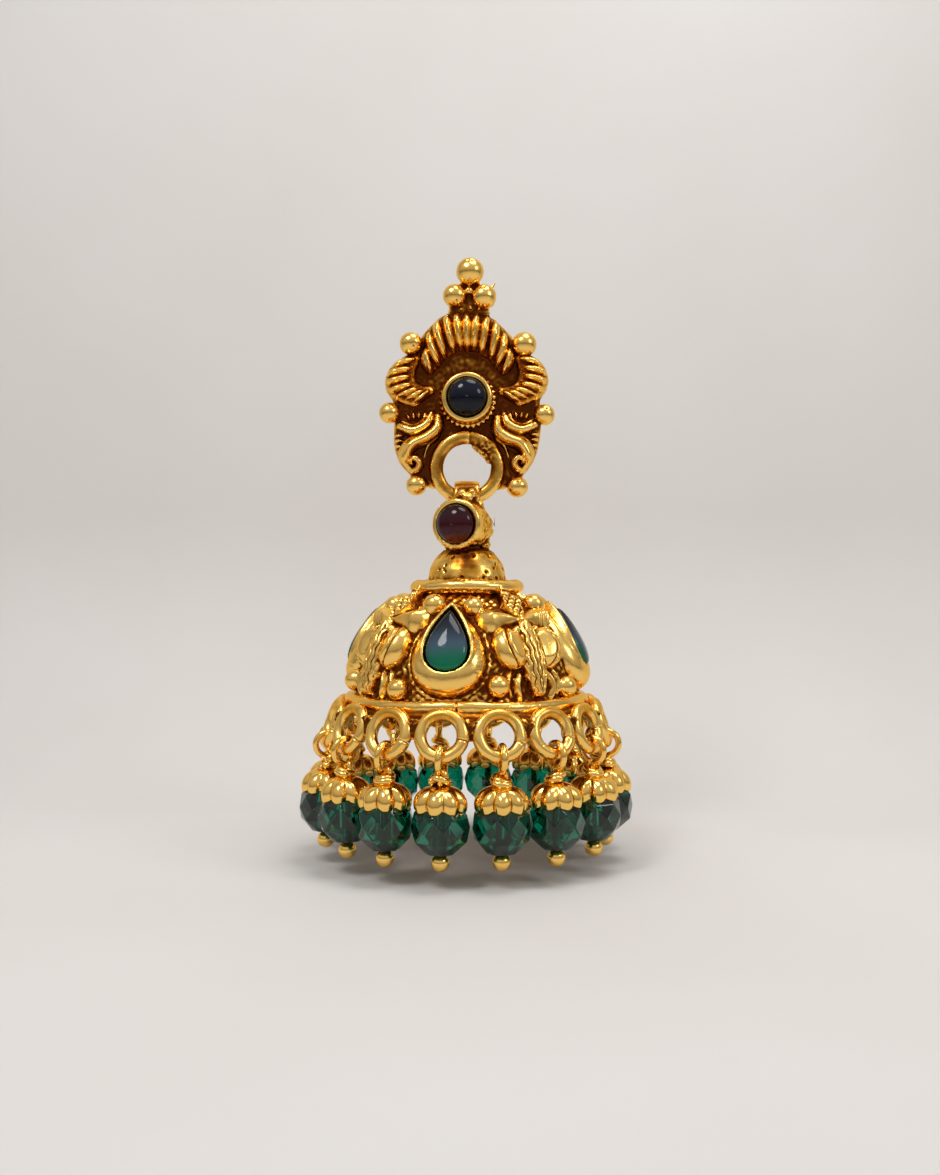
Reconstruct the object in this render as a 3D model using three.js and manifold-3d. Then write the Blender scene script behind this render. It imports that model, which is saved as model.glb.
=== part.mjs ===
// A jhumka earring in cast gold: a stud plaque with a carrying ring, and a bell that hangs from it by a strap
// bail. Sixteen wire pins hang from the bell's ring row, each with a fluted cap and a faceted glass bead.
// Millimetres, +Z up, front towards -Y. The origin is on the plaque's back, at the foot of the ear post.
import * as THREE from "three";
import { mergeVertices } from "three/addons/utils/BufferGeometryUtils.js";
import Module from "manifold-3d";

const wasm = await Module();
wasm.setup();

// Stud plaque: half width, reach above and below the stone's centre, and the thickness of its back plate
const plaqueHalfWidth = 6.1;
const plaqueRise = 6.85;
const plaqueFall = 6.9;
const plateThickness = 0.9;
const reliefHeight = 1.3;
const ribHeight = 0.32;
const scrollWidth = 0.6;
const scrollHeight = 1.15;
const swellingHeight = 0.6;
const reliefRoot = 0.3;

// Granules: the round balls soldered along the plaque's edge and on the bell
const crownGranule = 1.08;
const pairGranule = 0.94;
const shoulderGranule = 0.93;
const flankGranule = 0.8;
const footGranule = 0.82;
const bellGranule = 0.76;
const bellRoot = 0.4;

// Round cabochons and the cups that hold them
const roundStoneRadius = 1.5;
const roundStoneDome = 0.75;
const stoneDepth = 0.6;
const bezelWall = 0.4;
const rimBevel = 0.14;
const studBezelRise = 1.5;
const toothRingRadius = 2.2;
const toothRingRise = 0.55;
const seatGap = 0.1;

// Carrying ring in the plaque's notch
const carryRingRadius = 2.42;
const carryRingWire = 0.53;
const carryRingFall = 5.42;
const carryRingStand = 0.95;

// Ear post
const postRadius = 0.45;
const postLength = 11;
const postFootRadius = 1.2;
const postFootThickness = 0.4;

// Neck: strap bail, round bezel and dome
const bailClearance = 0.3;
const bailWall = 0.55;
const bailWidth = 1.96;
const neckBodyRadius = 2.05;
const neckBodyDepth = 1.25;
const neckBezelFall = 2.11;
const neckBezelReach = 2.6;
const neckTurn = -20;
const neckDomeRadius = 3.13;
const neckDomeHeight = 2.8;
const neckDomeOverlap = 0.45;

// Bell: dome between two collars, and the skirt below. A seat is the share of its wire a collar stands off by
const bellTurn = -9.6;
const domeHeight = 8.35;
const domeTopRadius = 3.6;
const domeBaseRadius = 8.9;
const domeWall = 0.7;
const upperCollarRadius = 3.92;
const upperCollarWire = 0.5;
const upperCollarSeat = 0.8;
const neckDomeSeat = 0.9;
const lowerCollarRadius = 9.12;
const lowerCollarWire = 0.42;
const skirtSeat = 0.6;
const skirtDepth = 0.5;
const skirtThickness = 0.75;

// Teardrop settings on the dome. The level is a share of the dome's height
const settingCount = 4;
const pearStoneWidth = 3.0;
const pearStoneHeight = 5.0;
const pearStoneDome = 0.45;
const settingWidth = 5.1;
const settingHeight = 7.0;
const settingRise = 0.7;
const settingRoot = 1.2;
const settingLevel = 0.53;
const pearStoneLift = 0.55;

// Palmettes between them: the level of their middle, and their span from there
const palmetteLevel = 0.71;
const palmetteSpan = 2.9;

// Ring row under the bell
const ringCount = 16;
const ringRowRadius = 10.5;
const ringRowFall = 1.75;
const ringRadius = 1.535;
const ringWire = 0.44;
const ringTilt = 18;

// Bead drops
const pinWire = 0.25;
const loopRadius = 0.93;
const loopGap = 0.1;
const wrapRadius = 0.85;
const wrapHeight = 0.7;
const wrapIntoLoop = 0.1;
const capHeight = 1.7;
const capRadius = 1.95;
const capShoulder = 0.76;
const capShoulderDrop = 0.25;
const capWall = 0.1;
const capFlutes = 8;
const capFluteDepth = 0.16;
const beadRadius = 2.0;
const beadFacets = 8;
const beadEnd = 0.9;
const boreClearance = 0.1;
const beadShoulder = 1.15;
const ballRadius = 0.66;
const restGap = 0.06;

// How finely round things are meshed
const ringSides = 10;
const wireSides = 5;
const carryRingSides = 16;
const latheSides = 24;
const beadSides = 10;
const bossSides = 8;
const granuleSides = 7;
const granuleRows = 4;
const leafSides = 6;
const archSides = 4;
const neckBodyRows = 5;
const cupSides = 14;
const pearSides = 10;
const collarSteps = 3;
const meshTolerance = 0.04;
const weldDistance = 1e-4;

// Places that follow from the sizes above
const ringPlane = -carryRingStand;
const pivotHeight = -carryRingFall - carryRingRadius;
const neckHeight = pivotHeight - neckBezelFall;
const neckDomeBase = neckHeight - neckBodyRadius + neckDomeOverlap - neckDomeHeight;
const upperCollarHeight = neckDomeBase - neckDomeSeat * upperCollarWire;
const domeTop = upperCollarHeight - upperCollarSeat * upperCollarWire;
const collarHeight = domeTop - domeHeight;
const tilt = THREE.MathUtils.degToRad(ringTilt);
const ringRowHeight = collarHeight - ringRowFall;
const loopDistance = ringRowRadius + ringRadius * Math.sin(tilt);
const loopHeight = ringRowHeight - ringRadius * Math.cos(tilt) + ringWire + loopGap - (loopRadius - pinWire);
const capTop = -loopRadius - pinWire - wrapHeight;
const beadCentre = capTop - capHeight - beadShoulder;
const pinBore = pinWire + boreClearance;
const settingCentre = settingLevel * domeHeight;
const palmetteCentre = palmetteLevel * domeHeight;

// The dome's outline from its base up: rise and reach are shares of its height and of what it narrows by
const domeSections = [
  { rise: 0, reach: 1 },
  { rise: 0.2, reach: 0.925 },
  { rise: 0.48, reach: 0.79 },
  { rise: 0.7, reach: 0.57 },
  { rise: 0.86, reach: 0.31 },
  { rise: 1, reach: 0 },
];

// The plate's edge from its top down one side: shares of its half width, and of its rise or fall
const plateEdge = [
  { across: 0, up: 1 },
  { across: 0.26, up: 0.95 },
  { across: 0.47, up: 0.79 },
  { across: 0.6, up: 0.63 },
  { across: 0.71, up: 0.55 },
  { across: 0.85, up: 0.44 },
  { across: 0.99, up: 0.21 },
  { across: 0.97, up: 0.01 },
  { across: 0.95, up: -0.16 },
  { across: 0.94, up: -0.35 },
  { across: 0.92, up: -0.56 },
  { across: 0.82, up: -0.76 },
  { across: 0.68, up: -0.93 },
  { across: 0.45, up: -1 },
  { across: 0.2, up: -0.8 },
];

// Ribbed crescents: each arc's centre, its radius and half width as shares of the rise, its turn and ribs
const crescents = [
  { x: 0, up: 0.35, radius: 0.41, width: 0.21, turn: 0, sweep: 190, ribs: 11 },
  { x: 0.574, up: 0.255, radius: 0.245, width: 0.135, turn: 115, sweep: 135, ribs: 7 },
];

// Scrolls on the plaque's lower lobes: points as shares of its half width and fall
const scrollPaths = [
  [
    { x: 0.47, up: -0.18 },
    { x: 0.53, up: -0.29 },
    { x: 0.69, up: -0.36 },
    { x: 0.85, up: -0.31 },
  ],
  [
    { x: 0.39, up: -0.23 },
    { x: 0.41, up: -0.36 },
    { x: 0.69, up: -0.51 },
    { x: 0.81, up: -0.72 },
    { x: 0.73, up: -0.82 },
    { x: 0.65, up: -0.74 },
  ],
];

// A palmette on the dome: places from where its leaves meet and half sizes, as shares of its span, with how
// high each leaf stands and its turn from upright in degrees
const palmetteLeaves = [
  { across: 0, up: 0.42, halfLength: 0.5, halfWidth: 0.26, high: 0.8, turn: 0 },
  { across: 0.48, up: 0.04, halfLength: 0.48, halfWidth: 0.3, high: 0.95, turn: 98 },
  { across: 0.56, up: -0.56, halfLength: 0.5, halfWidth: 0.44, high: 1.05, turn: 160 },
  { across: 0, up: -0.9, halfLength: 0.8, halfWidth: 0.3, high: 0.9, turn: 0 },
];

// Granules on each quarter of the dome: turn from the teardrop's middle, and share of the dome's height
const domeGranules = [
  { turn: 15, rise: 0.85 },
  { turn: 24, rise: 0.15 },
];

// The swelling under each pair of scrolls, in shares of the plaque's half width and fall
const lowerSwelling = { x: 0.64, up: -0.53, halfWidth: 0.26, halfRise: 0.4 };

// Granules along the plaque: places as shares of its half width, rise and fall
const plaqueGranules = [
  { x: 0, up: 1.47, radius: crownGranule },
  { x: 0.189, up: 1.174, radius: pairGranule },
  { x: 0.736, up: 0.638, radius: shoulderGranule },
  { x: 1, up: -0.165, radius: flankGranule },
  { x: 0.65, up: -1, radius: footGranule },
];

// A teardrop setting from its root to its shoulder, in shares of its width, height and rise
const settingLayers = [
  { width: 1, height: 1, rise: 0.45 },
  { width: 0.88, height: 0.92, rise: 0.8 },
];

// A teardrop stone from its back to its crown: shares of its outline, its girdle and its dome
const pearStoneLayers = [
  { outline: 1, girdle: 0, dome: 0 },
  { outline: 1, girdle: 0.8, dome: 0 },
  { outline: 0.75, girdle: 1, dome: 0.6 },
  { outline: 0.35, girdle: 1, dome: 1 },
];

function finish(color, roughness, metalness, flatShading) {
  return new THREE.MeshStandardMaterial({ color, roughness, metalness, flatShading });
}

const gold = finish(0xd9a441, 0.32, 1, true);
const darkStone = finish(0x10131f, 0.08, 0, false);
const redStone = finish(0x2c070c, 0.06, 0, false);
const greenStone = finish(0x0d4f3f, 0.06, 0, false);
const greenGlass = finish(0x04614a, 0.04, 0, true);

// A closed three.js geometry as a solid, placed by a matrix. Faces shrunk to a line at a pole are left out.
function solidOf(geometry, matrix = new THREE.Matrix4()) {
  const bare = geometry.clone().applyMatrix4(matrix);
  bare.deleteAttribute("normal");
  bare.deleteAttribute("uv");
  const merged = mergeVertices(bare, weldDistance);
  const faces = [];
  for (let i = 0; i < merged.index.count; i += 3) {
    const [a, b, c] = [0, 1, 2].map((k) => merged.index.getX(i + k));
    if (a !== b && b !== c && a !== c) faces.push(a, b, c);
  }
  const build = (triangles) =>
    new wasm.Manifold(
      new wasm.Mesh({
        numProp: 3,
        vertProperties: new Float32Array(merged.attributes.position.array),
        triVerts: new Uint32Array(triangles),
      }),
    );
  const made = build(faces);
  return made.volume() > 0 ? made : build(faces.reverse());
}

function join(solids) {
  return solids.reduce((whole, next) => whole.add(next));
}

function meshOf(name, solid, material) {
  const { vertProperties, triVerts } = solid.simplify(meshTolerance).getMesh();
  const geometry = new THREE.BufferGeometry();
  geometry.setAttribute("position", new THREE.BufferAttribute(vertProperties, 3));
  geometry.setIndex(new THREE.BufferAttribute(triVerts, 1));
  geometry.computeVertexNormals();
  const mesh = new THREE.Mesh(geometry, material);
  mesh.name = name;
  return mesh;
}

function move(x, y, z) {
  return new THREE.Matrix4().makeTranslation(x, y, z);
}

// A profile of [radius, height] pairs turned about the Z axis.
function turned(profile, sides) {
  const points = profile.map(([radius, height]) => new THREE.Vector2(radius, height));
  return new THREE.LatheGeometry(points, sides).rotateX(Math.PI / 2);
}

// The same, turned about the Y axis, with heights measured towards the front.
function turnedToFront(profile, sides) {
  return turned(profile, sides).rotateX(Math.PI / 2);
}

function ball(radius, sides, rows) {
  return new THREE.SphereGeometry(radius, sides, rows).rotateX(Math.PI / 2);
}

// Rings of points, each the same count, skinned in order and closed at both ends on a middle point.
function skin(rings, first, last) {
  const count = rings[0].length;
  const points = [first, ...rings.flat(), last];
  const index = [];
  rings.forEach((ring, row) => {
    for (let i = 0; i < count; i++) {
      const here = 1 + row * count + i;
      const beside = 1 + row * count + ((i + 1) % count);
      if (row === 0) index.push(0, beside, here);
      if (row === rings.length - 1) index.push(points.length - 1, here, beside);
      else index.push(here, beside, here + count, beside, beside + count, here + count);
    }
  });
  return new THREE.BufferGeometry().setFromPoints(points).setIndex(index);
}

// A low rounded boss with a flat back, its root sunk behind it.
function boss(halfWidth, halfRise, height, root, sides = bossSides) {
  const layers = [{ out: -root, share: 0.9 }, { out: 0.45 * height, share: 0.93 }];
  const rings = layers.map(({ out, share }) =>
    Array.from({ length: sides }, (_, k) => {
      const angle = (2 * Math.PI * k) / sides;
      const [x, z] = [halfWidth * Math.sin(angle), halfRise * Math.cos(angle)];
      return new THREE.Vector3(share * x, -out, share * z);
    }));
  return skin(rings, new THREE.Vector3(0, root, 0), new THREE.Vector3(0, -height, 0));
}

// A tapered bar laid on the plate along a flat curve: an arch in section, its flat back sunk into the plate.
// Its tips stay a little open. Every second section may stand higher and wider, as a scallop shell's ribs do.
function bar(curve, steps, halfWidth, height, { blunt = 0, rib = 0 } = {}) {
  const tip = 0.04;
  const rings = [];
  for (let k = 0; k <= steps; k++) {
    const share = k / steps;
    const arch = Math.sqrt(Math.sin(Math.PI * THREE.MathUtils.clamp(share, tip, 1 - tip)));
    const swell = blunt + (1 - blunt) * arch;
    const crest = k % 2 ? rib : 0;
    const middle = curve.getPoint(share);
    const along = curve.getTangent(share);
    const across = new THREE.Vector3(-along.z, 0, along.x).normalize();
    rings.push(Array.from({ length: archSides + 1 }, (_, i) => {
      const angle = (Math.PI * i) / archSides;
      const half = swell * halfWidth + 0.5 * crest;
      const point = middle.clone().addScaledVector(across, half * Math.cos(angle));
      point.y -= plateThickness - reliefRoot + (swell * height + crest + reliefRoot) * Math.sin(angle);
      return point;
    }));
  }
  const end = (share) => curve.getPoint(share).setY(reliefRoot - plateThickness);
  return solidOf(skin(rings, end(0), end(1)));
}

// An arc in the XZ plane about a centre, its middle turned clockwise from straight up.
function arcCurve(x, z, radius, turn, sweep) {
  const middle = THREE.MathUtils.degToRad(turn);
  const half = THREE.MathUtils.degToRad(sweep) / 2;
  const points = [-1, -0.5, 0, 0.5, 1].map((side) => {
    const angle = middle + side * half;
    return new THREE.Vector3(x + radius * Math.sin(angle), 0, z + radius * Math.cos(angle));
  });
  return new THREE.CatmullRomCurve3(points);
}

// A height on the plaque, from a share of its rise above the stone or of its fall below.
function plaqueHeight(share) {
  return share * (share > 0 ? plaqueRise : plaqueFall);
}

function slab(shape, depth) {
  const flat = new THREE.ExtrudeGeometry(shape, { depth, bevelEnabled: false, curveSegments: ringSides });
  return solidOf(flat.rotateX(Math.PI / 2));
}

function plate() {
  const side = plateEdge.map(({ across, up }) =>
    new THREE.Vector2(across * plaqueHalfWidth, plaqueHeight(up)));
  const mirrored = side.slice(1).reverse().map(({ x, y }) => new THREE.Vector2(-x, y));
  const notch = new THREE.Shape();
  notch.absarc(0, -carryRingFall, carryRingRadius, 0, 2 * Math.PI);
  const cut = slab(notch, 3 * plateThickness).translate(0, plateThickness, 0);
  // Solder fills the triangle between the three crown granules and the plate
  const [crown, pair] = plaqueGranules.map(({ x, up }) =>
    new THREE.Vector2(x * plaqueHalfWidth, plaqueHeight(up)));
  const foot = plaqueHeight(plateEdge[1].up) - pairGranule;
  const web = new THREE.Shape([new THREE.Vector2(-pair.x, foot), new THREE.Vector2(pair.x, foot), pair, crown,
    new THREE.Vector2(-pair.x, pair.y)]);
  const back = slab(new THREE.Shape([...side, ...mirrored]), plateThickness);
  return back.add(slab(web, plateThickness)).subtract(cut);
}

// A crescent with ribs across it, as on a scallop shell.
function ribbedCrescent({ x, up, radius, width, turn, sweep, ribs }, side) {
  const middle = side * x * plaqueHalfWidth;
  const curve = arcCurve(middle, plaqueHeight(up), radius * plaqueRise, side * turn, sweep);
  return bar(curve, 2 * ribs, width * plaqueRise, reliefHeight, { blunt: 0.25, rib: ribHeight });
}

function scroll(path, side) {
  const points = path.map(({ x, up }) => new THREE.Vector3(side * x * plaqueHalfWidth, 0, plaqueHeight(up)));
  const curve = new THREE.CatmullRomCurve3(points);
  return bar(curve, 2 * points.length - 1, scrollWidth / 2, scrollHeight, { blunt: 0.5 });
}

function lowerLobe(side) {
  const { x, up, halfWidth, halfRise } = lowerSwelling;
  const lobe = boss(halfWidth * plaqueHalfWidth, halfRise * plaqueFall, swellingHeight, reliefRoot);
  return solidOf(lobe, move(side * x * plaqueHalfWidth, -plateThickness, plaqueHeight(up)));
}

// A round cup that opens to the front: its back on y = 0, its rim at the given reach.
function roundCup(reach) {
  const opening = roundStoneRadius + seatGap;
  const rim = opening + bezelWall;
  const seat = reach - stoneDepth - seatGap;
  const above = reach + stoneDepth;
  const wall = [[0, 0], [rim, 0], [rim, reach - rimBevel], [rim - rimBevel, reach], [0, reach]];
  const cup = turnedToFront(wall, cupSides);
  const recess = turnedToFront([[0, seat], [opening, seat], [opening, above], [0, above]], cupSides);
  return { cup, recess };
}

function carryRing() {
  const ring = new THREE.TorusGeometry(carryRingRadius, carryRingWire, wireSides, carryRingSides);
  return solidOf(ring.rotateX(Math.PI / 2), move(0, ringPlane, -carryRingFall));
}

function studPlaque() {
  const solids = [plate(), carryRing()];
  for (const crescent of crescents) {
    for (const side of crescent.x ? [-1, 1] : [1]) solids.push(ribbedCrescent(crescent, side));
  }
  for (const side of [-1, 1]) {
    solids.push(lowerLobe(side), ...scrollPaths.map((path) => scroll(path, side)));
  }
  for (const { x, up, radius } of plaqueGranules) {
    for (const side of x ? [-1, 1] : [1]) {
      const place = move(side * x * plaqueHalfWidth, -radius, plaqueHeight(up));
      solids.push(solidOf(ball(radius, bossSides, granuleRows), place));
    }
  }
  const { cup, recess } = roundCup(plateThickness + studBezelRise);
  const toothRise = plateThickness + toothRingRise;
  const toothRing = [[0, 0], [toothRingRadius, 0], [toothRingRadius, toothRise], [0, toothRise]];
  const cups = [solidOf(cup), solidOf(turnedToFront(toothRing, cupSides))];
  return join([...solids, ...cups]).subtract(solidOf(recess));
}

// A round cabochon: flat back, upright girdle, low dome.
function roundStone() {
  const dome = [0, 0.4, 0.75].map((share) => {
    const angle = (share * Math.PI) / 2;
    return [roundStoneRadius * Math.cos(angle), stoneDepth + roundStoneDome * Math.sin(angle)];
  });
  return turnedToFront([[0, 0], [roundStoneRadius, 0], ...dome, [0, stoneDepth + roundStoneDome]], cupSides);
}

function earPost() {
  const foot = [[0, 0], [postFootRadius, 0], [postFootRadius, postFootThickness]];
  const shaft = [[postRadius, postFootThickness], [postRadius, postLength - postRadius]];
  const profile = [...foot, ...shaft, [0.5 * postRadius, postLength], [0, postLength]];
  return turnedToFront(profile, ringSides).rotateZ(Math.PI);
}

// Radius of the dome's ground at a height above the lower collar.
function domeRadius(height) {
  const share = THREE.MathUtils.clamp(height / domeHeight, 0, 1);
  const k = Math.max(1, domeSections.findIndex(({ rise }) => rise >= share));
  const [low, high] = [domeSections[k - 1], domeSections[k]];
  const reach = THREE.MathUtils.mapLinear(share, low.rise, high.rise, low.reach, high.reach);
  return domeTopRadius + reach * (domeBaseRadius - domeTopRadius);
}

// The place on the dome at a turn and height, with X across, Z up the slope and -Y outwards.
function onDome(turn, height) {
  const step = 0.1;
  const lean = Math.atan2(domeRadius(height - step) - domeRadius(height + step), 2 * step);
  return new THREE.Matrix4()
    .makeRotationZ(THREE.MathUtils.degToRad(bellTurn + turn))
    .multiply(move(0, -domeRadius(height), collarHeight + height))
    .multiply(new THREE.Matrix4().makeRotationX(-lean));
}

// A round collar's outline, as points about its middle from one angle to another.
function collarOutline(radius, height, wire, from, to) {
  return Array.from({ length: collarSteps + 1 }, (_, k) => {
    const angle = THREE.MathUtils.degToRad(THREE.MathUtils.lerp(from, to, k / collarSteps));
    return [radius + wire * Math.cos(angle), height + wire * Math.sin(angle)];
  });
}

// A line at a depth inside the dome's wall, from the lower collar up to the axis.
function wallLine(depth) {
  const wall = domeSections.filter((_, k) => k % 2 === 0).map(({ rise }) =>
    [domeRadius(rise * domeHeight) - depth, collarHeight + rise * (domeHeight - depth)]);
  return [...wall, [0, collarHeight + domeHeight - depth]];
}

function bellBody() {
  const neckDome = [0, 0.4, 0.75].map((share) => {
    const angle = ((1 - share) * Math.PI) / 2;
    return [neckDomeRadius * Math.cos(angle), neckDomeBase + neckDomeHeight * Math.sin(angle)];
  });
  const outside = domeSections.slice(1, -1).reverse().map(({ rise }) =>
    [domeRadius(rise * domeHeight), collarHeight + rise * domeHeight]);
  const skirtTop = collarHeight - skirtSeat * lowerCollarWire;
  const planeRadius = (height) => ringRowRadius - (height - ringRowHeight) * Math.tan(tilt);
  const skirtBottom = skirtTop - skirtDepth;
  const skirtRadius = planeRadius(skirtBottom);
  const skirt = [[skirtRadius, skirtBottom], [skirtRadius - skirtThickness, skirtBottom],
    [lowerCollarRadius - skirtThickness, skirtTop]];
  return turned([
    ...neckDome,
    [neckDomeRadius, upperCollarHeight],
    ...collarOutline(upperCollarRadius, upperCollarHeight, upperCollarWire, 80, -100),
    ...outside,
    ...collarOutline(lowerCollarRadius, collarHeight, lowerCollarWire, 110, -60),
    ...skirt,
    ...wallLine(domeWall),
  ], latheSides);
}

// A point on a pear outline of width and height 1, its tip up. The angle starts at the tip.
function pearPoint(angle) {
  const widest = 0.77;
  return [(0.5 * Math.sin(angle) * Math.sin(angle / 2)) / widest, 0.5 * Math.cos(angle)];
}

function pearRing(width, height, out, up = 0) {
  return Array.from({ length: pearSides }, (_, k) => {
    const [x, z] = pearPoint((2 * Math.PI * k) / pearSides);
    return new THREE.Vector3(x * width, -out, z * height + up);
  });
}

// Layers of pear outlines, each with its width, height and reach towards the front.
function pearSolid(layers, up = 0) {
  const middle = (out) => new THREE.Vector3(0, -out, up);
  const rings = layers.map(({ width, height, out }) => pearRing(width, height, out, up));
  return skin(rings, middle(layers[0].out), middle(layers.at(-1).out));
}

function teardropSetting(turn) {
  const rimWidth = pearStoneWidth + 2 * seatGap + bezelWall;
  const rimHeight = pearStoneHeight + 2 * seatGap + 1.5 * bezelWall;
  const body = pearSolid([
    { width: settingWidth, height: settingHeight, out: -settingRoot },
    ...settingLayers.map(({ width, height, rise }) =>
      ({ width: width * settingWidth, height: height * settingHeight, out: rise * settingRise })),
  ]);
  const rim = pearSolid([
    { width: 1.25 * rimWidth, height: 1.1 * rimHeight, out: 0 },
    { width: rimWidth, height: rimHeight, out: settingRise },
  ], pearStoneLift);
  const opening = { width: pearStoneWidth + 2 * seatGap, height: pearStoneHeight + 2 * seatGap };
  const recess = pearSolid([
    { ...opening, out: settingRise - stoneDepth - seatGap },
    { ...opening, out: settingRise + stoneDepth },
  ], pearStoneLift);
  const place = onDome(turn, settingCentre);
  return { solid: join([solidOf(body, place), solidOf(rim, place)]), recess: solidOf(recess, place) };
}

function pearStone() {
  const back = settingRise - stoneDepth;
  const layers = pearStoneLayers.map(({ outline, girdle, dome }) => ({
    width: outline * pearStoneWidth,
    height: outline * pearStoneHeight,
    out: back + girdle * stoneDepth + dome * pearStoneDome,
  }));
  return pearSolid(layers, pearStoneLift);
}

// A palmette: an upright leaf, two pairs of leaves and a hanging tail, all from one middle.
// Each leaf takes its place from the dome below it, so that it follows the curve.
function palmette(turn) {
  const solids = [];
  for (const { across, up, halfLength, halfWidth, high, turn: leafTurn } of palmetteLeaves) {
    const height = palmetteCentre + up * palmetteSpan;
    for (const side of across ? [-1, 1] : [1]) {
      const around = THREE.MathUtils.radToDeg((side * across * palmetteSpan) / domeRadius(height));
      const lean = new THREE.Matrix4().makeRotationY(side * THREE.MathUtils.degToRad(leafTurn));
      const leaf = boss(halfWidth * palmetteSpan, halfLength * palmetteSpan, high, bellRoot, leafSides);
      solids.push(solidOf(leaf, onDome(turn + around, height).multiply(lean)));
    }
  }
  return solids;
}

function domeGranule(turn, height) {
  const granule = boss(bellGranule, bellGranule, bellGranule, bellRoot, granuleSides);
  return solidOf(granule, onDome(turn, height));
}

function ringRow() {
  return Array.from({ length: ringCount }, (_, k) => {
    const ring = new THREE.TorusGeometry(ringRadius, ringWire, wireSides, ringSides).rotateX(Math.PI / 2);
    const place = new THREE.Matrix4()
      .makeRotationZ(THREE.MathUtils.degToRad(bellTurn + (360 * k) / ringCount))
      .multiply(move(0, -ringRowRadius, ringRowHeight))
      .multiply(new THREE.Matrix4().makeRotationX(-tilt));
    return solidOf(ring, place);
  });
}

// The strap bail and the round body under it. The hole widens to both sides as the carrying ring curves.
function neck() {
  const boreRadius = carryRingWire + bailClearance;
  const half = neckBodyRadius + seatGap;
  const flare = [-1, -0.67, -0.33, 0, 0.33, 0.67, 1].map((share) => {
    const x = share * half;
    return [boreRadius + carryRingRadius - Math.sqrt(carryRingRadius ** 2 - x ** 2), x];
  });
  const alongX = new THREE.Matrix4().makeRotationY(Math.PI / 2);
  const atPivot = move(0, 0, pivotHeight).multiply(alongX);
  const [outer, side] = [boreRadius + bailWall, bailWidth / 2];
  const strap = turned([[0, -side], [outer, -side], [outer, side], [0, side]], ringSides);
  const hole = turned([[0, -half], ...flare, [0, half]], ringSides);
  const body = ball(neckBodyRadius, ringSides, neckBodyRows).scale(1, neckBodyDepth / neckBodyRadius, 1);
  const { cup, recess } = roundCup(neckBezelReach);
  const turnCup = move(0, 0, neckHeight)
    .multiply(new THREE.Matrix4().makeRotationZ(THREE.MathUtils.degToRad(neckTurn)));
  const solid = join([solidOf(strap, atPivot), solidOf(body, move(0, 0, neckHeight)), solidOf(cup, turnCup)])
    .subtract(solidOf(hole, atPivot));
  return { solid, recess: solidOf(recess, turnCup) };
}

function bell() {
  const quarter = 360 / settingCount;
  const settings = [];
  const relief = [];
  for (let k = 0; k < settingCount; k++) {
    settings.push(teardropSetting(k * quarter));
    relief.push(...palmette((k + 0.5) * quarter));
    for (const { turn, rise } of domeGranules) {
      for (const side of [-1, 1]) relief.push(domeGranule(k * quarter + side * turn, rise * domeHeight));
    }
  }
  // The settings' flat backs end half way into the curved wall, so nothing of them stands inside the bell
  const core = turned([[0, collarHeight], ...wallLine(domeWall / 2)], latheSides);
  const cups = join(settings.map(({ solid }) => solid)).subtract(solidOf(core));
  const top = neck();
  return join([solidOf(bellBody()), ...relief, cups, ...ringRow(), top.solid])
    .subtract(join([top.recess, ...settings.map(({ recess }) => recess)]));
}

// A wire pin in its own frame: its loop about the origin, across the ring's wire, and its ball end below.
function headPin() {
  const ballCentre = beadCentre - beadEnd * beadRadius - restGap - ballRadius;
  const loop = new THREE.TorusGeometry(loopRadius, pinWire, wireSides, beadSides).rotateY(Math.PI / 2);
  const shaftTop = -loopRadius;
  const shaft = new THREE.CylinderGeometry(pinWire, pinWire, shaftTop - ballCentre, wireSides);
  const wrapTop = -loopRadius - pinWire + wrapIntoLoop * wrapHeight;
  const wrapProfile = [[0, wrapTop], [wrapRadius, wrapTop - wrapHeight / 2], [0, wrapTop - wrapHeight]];
  return join([
    solidOf(loop),
    solidOf(shaft.rotateX(Math.PI / 2), move(0, 0, (shaftTop + ballCentre) / 2)),
    solidOf(turned(wrapProfile, wireSides)),
    solidOf(ball(ballRadius, bossSides, granuleRows), move(0, 0, ballCentre)),
  ]);
}

// A fluted cap over the bead: two sides to each flute, one on its crest and one in its groove.
function beadCap() {
  const bottom = capTop - capHeight;
  const shoulder = [capShoulder * capRadius, capTop - capShoulderDrop * capHeight];
  const inner = [capRadius - capFluteDepth - capWall, bottom];
  const profile = [[pinBore, capTop], shoulder, [capRadius, bottom], inner, [pinBore, capTop]];
  const cap = turned(profile, 2 * capFlutes);
  const place = cap.attributes.position;
  for (let i = 0; i < place.count; i++) {
    const onOuterFace = i % profile.length === 1 || i % profile.length === 2;
    const inGroove = Math.floor(i / profile.length) % 2 === 1;
    if (!onOuterFace || !inGroove) continue;
    const [x, y] = [place.getX(i), place.getY(i)];
    const drawn = 1 - capFluteDepth / Math.hypot(x, y);
    place.setXY(i, x * drawn, y * drawn);
  }
  return cap;
}

// A fire-polished bead: belts of points, each belt turned half a facet from the last, drilled along its axis.
function glassBead() {
  const belts = [
    { radius: 0.5, height: beadEnd },
    { radius: 0.92, height: 0.44 },
    { radius: 1, height: 0 },
    { radius: 0.92, height: -0.44 },
    { radius: 0.5, height: -beadEnd },
  ];
  const rings = belts.map(({ radius, height }, row) =>
    Array.from({ length: beadFacets }, (_, k) => {
      const angle = (2 * Math.PI * (k + row / 2)) / beadFacets;
      const [reach, up] = [radius * beadRadius, beadCentre + height * beadRadius];
      return new THREE.Vector3(reach * Math.cos(angle), reach * Math.sin(angle), up);
    }));
  const end = (side) => new THREE.Vector3(0, 0, beadCentre + side * beadEnd * beadRadius);
  const bore = new THREE.CylinderGeometry(pinBore, pinBore, 3 * beadRadius, wireSides).rotateX(Math.PI / 2);
  return solidOf(skin(rings, end(1), end(-1))).subtract(solidOf(bore, move(0, 0, beadCentre)));
}

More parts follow.
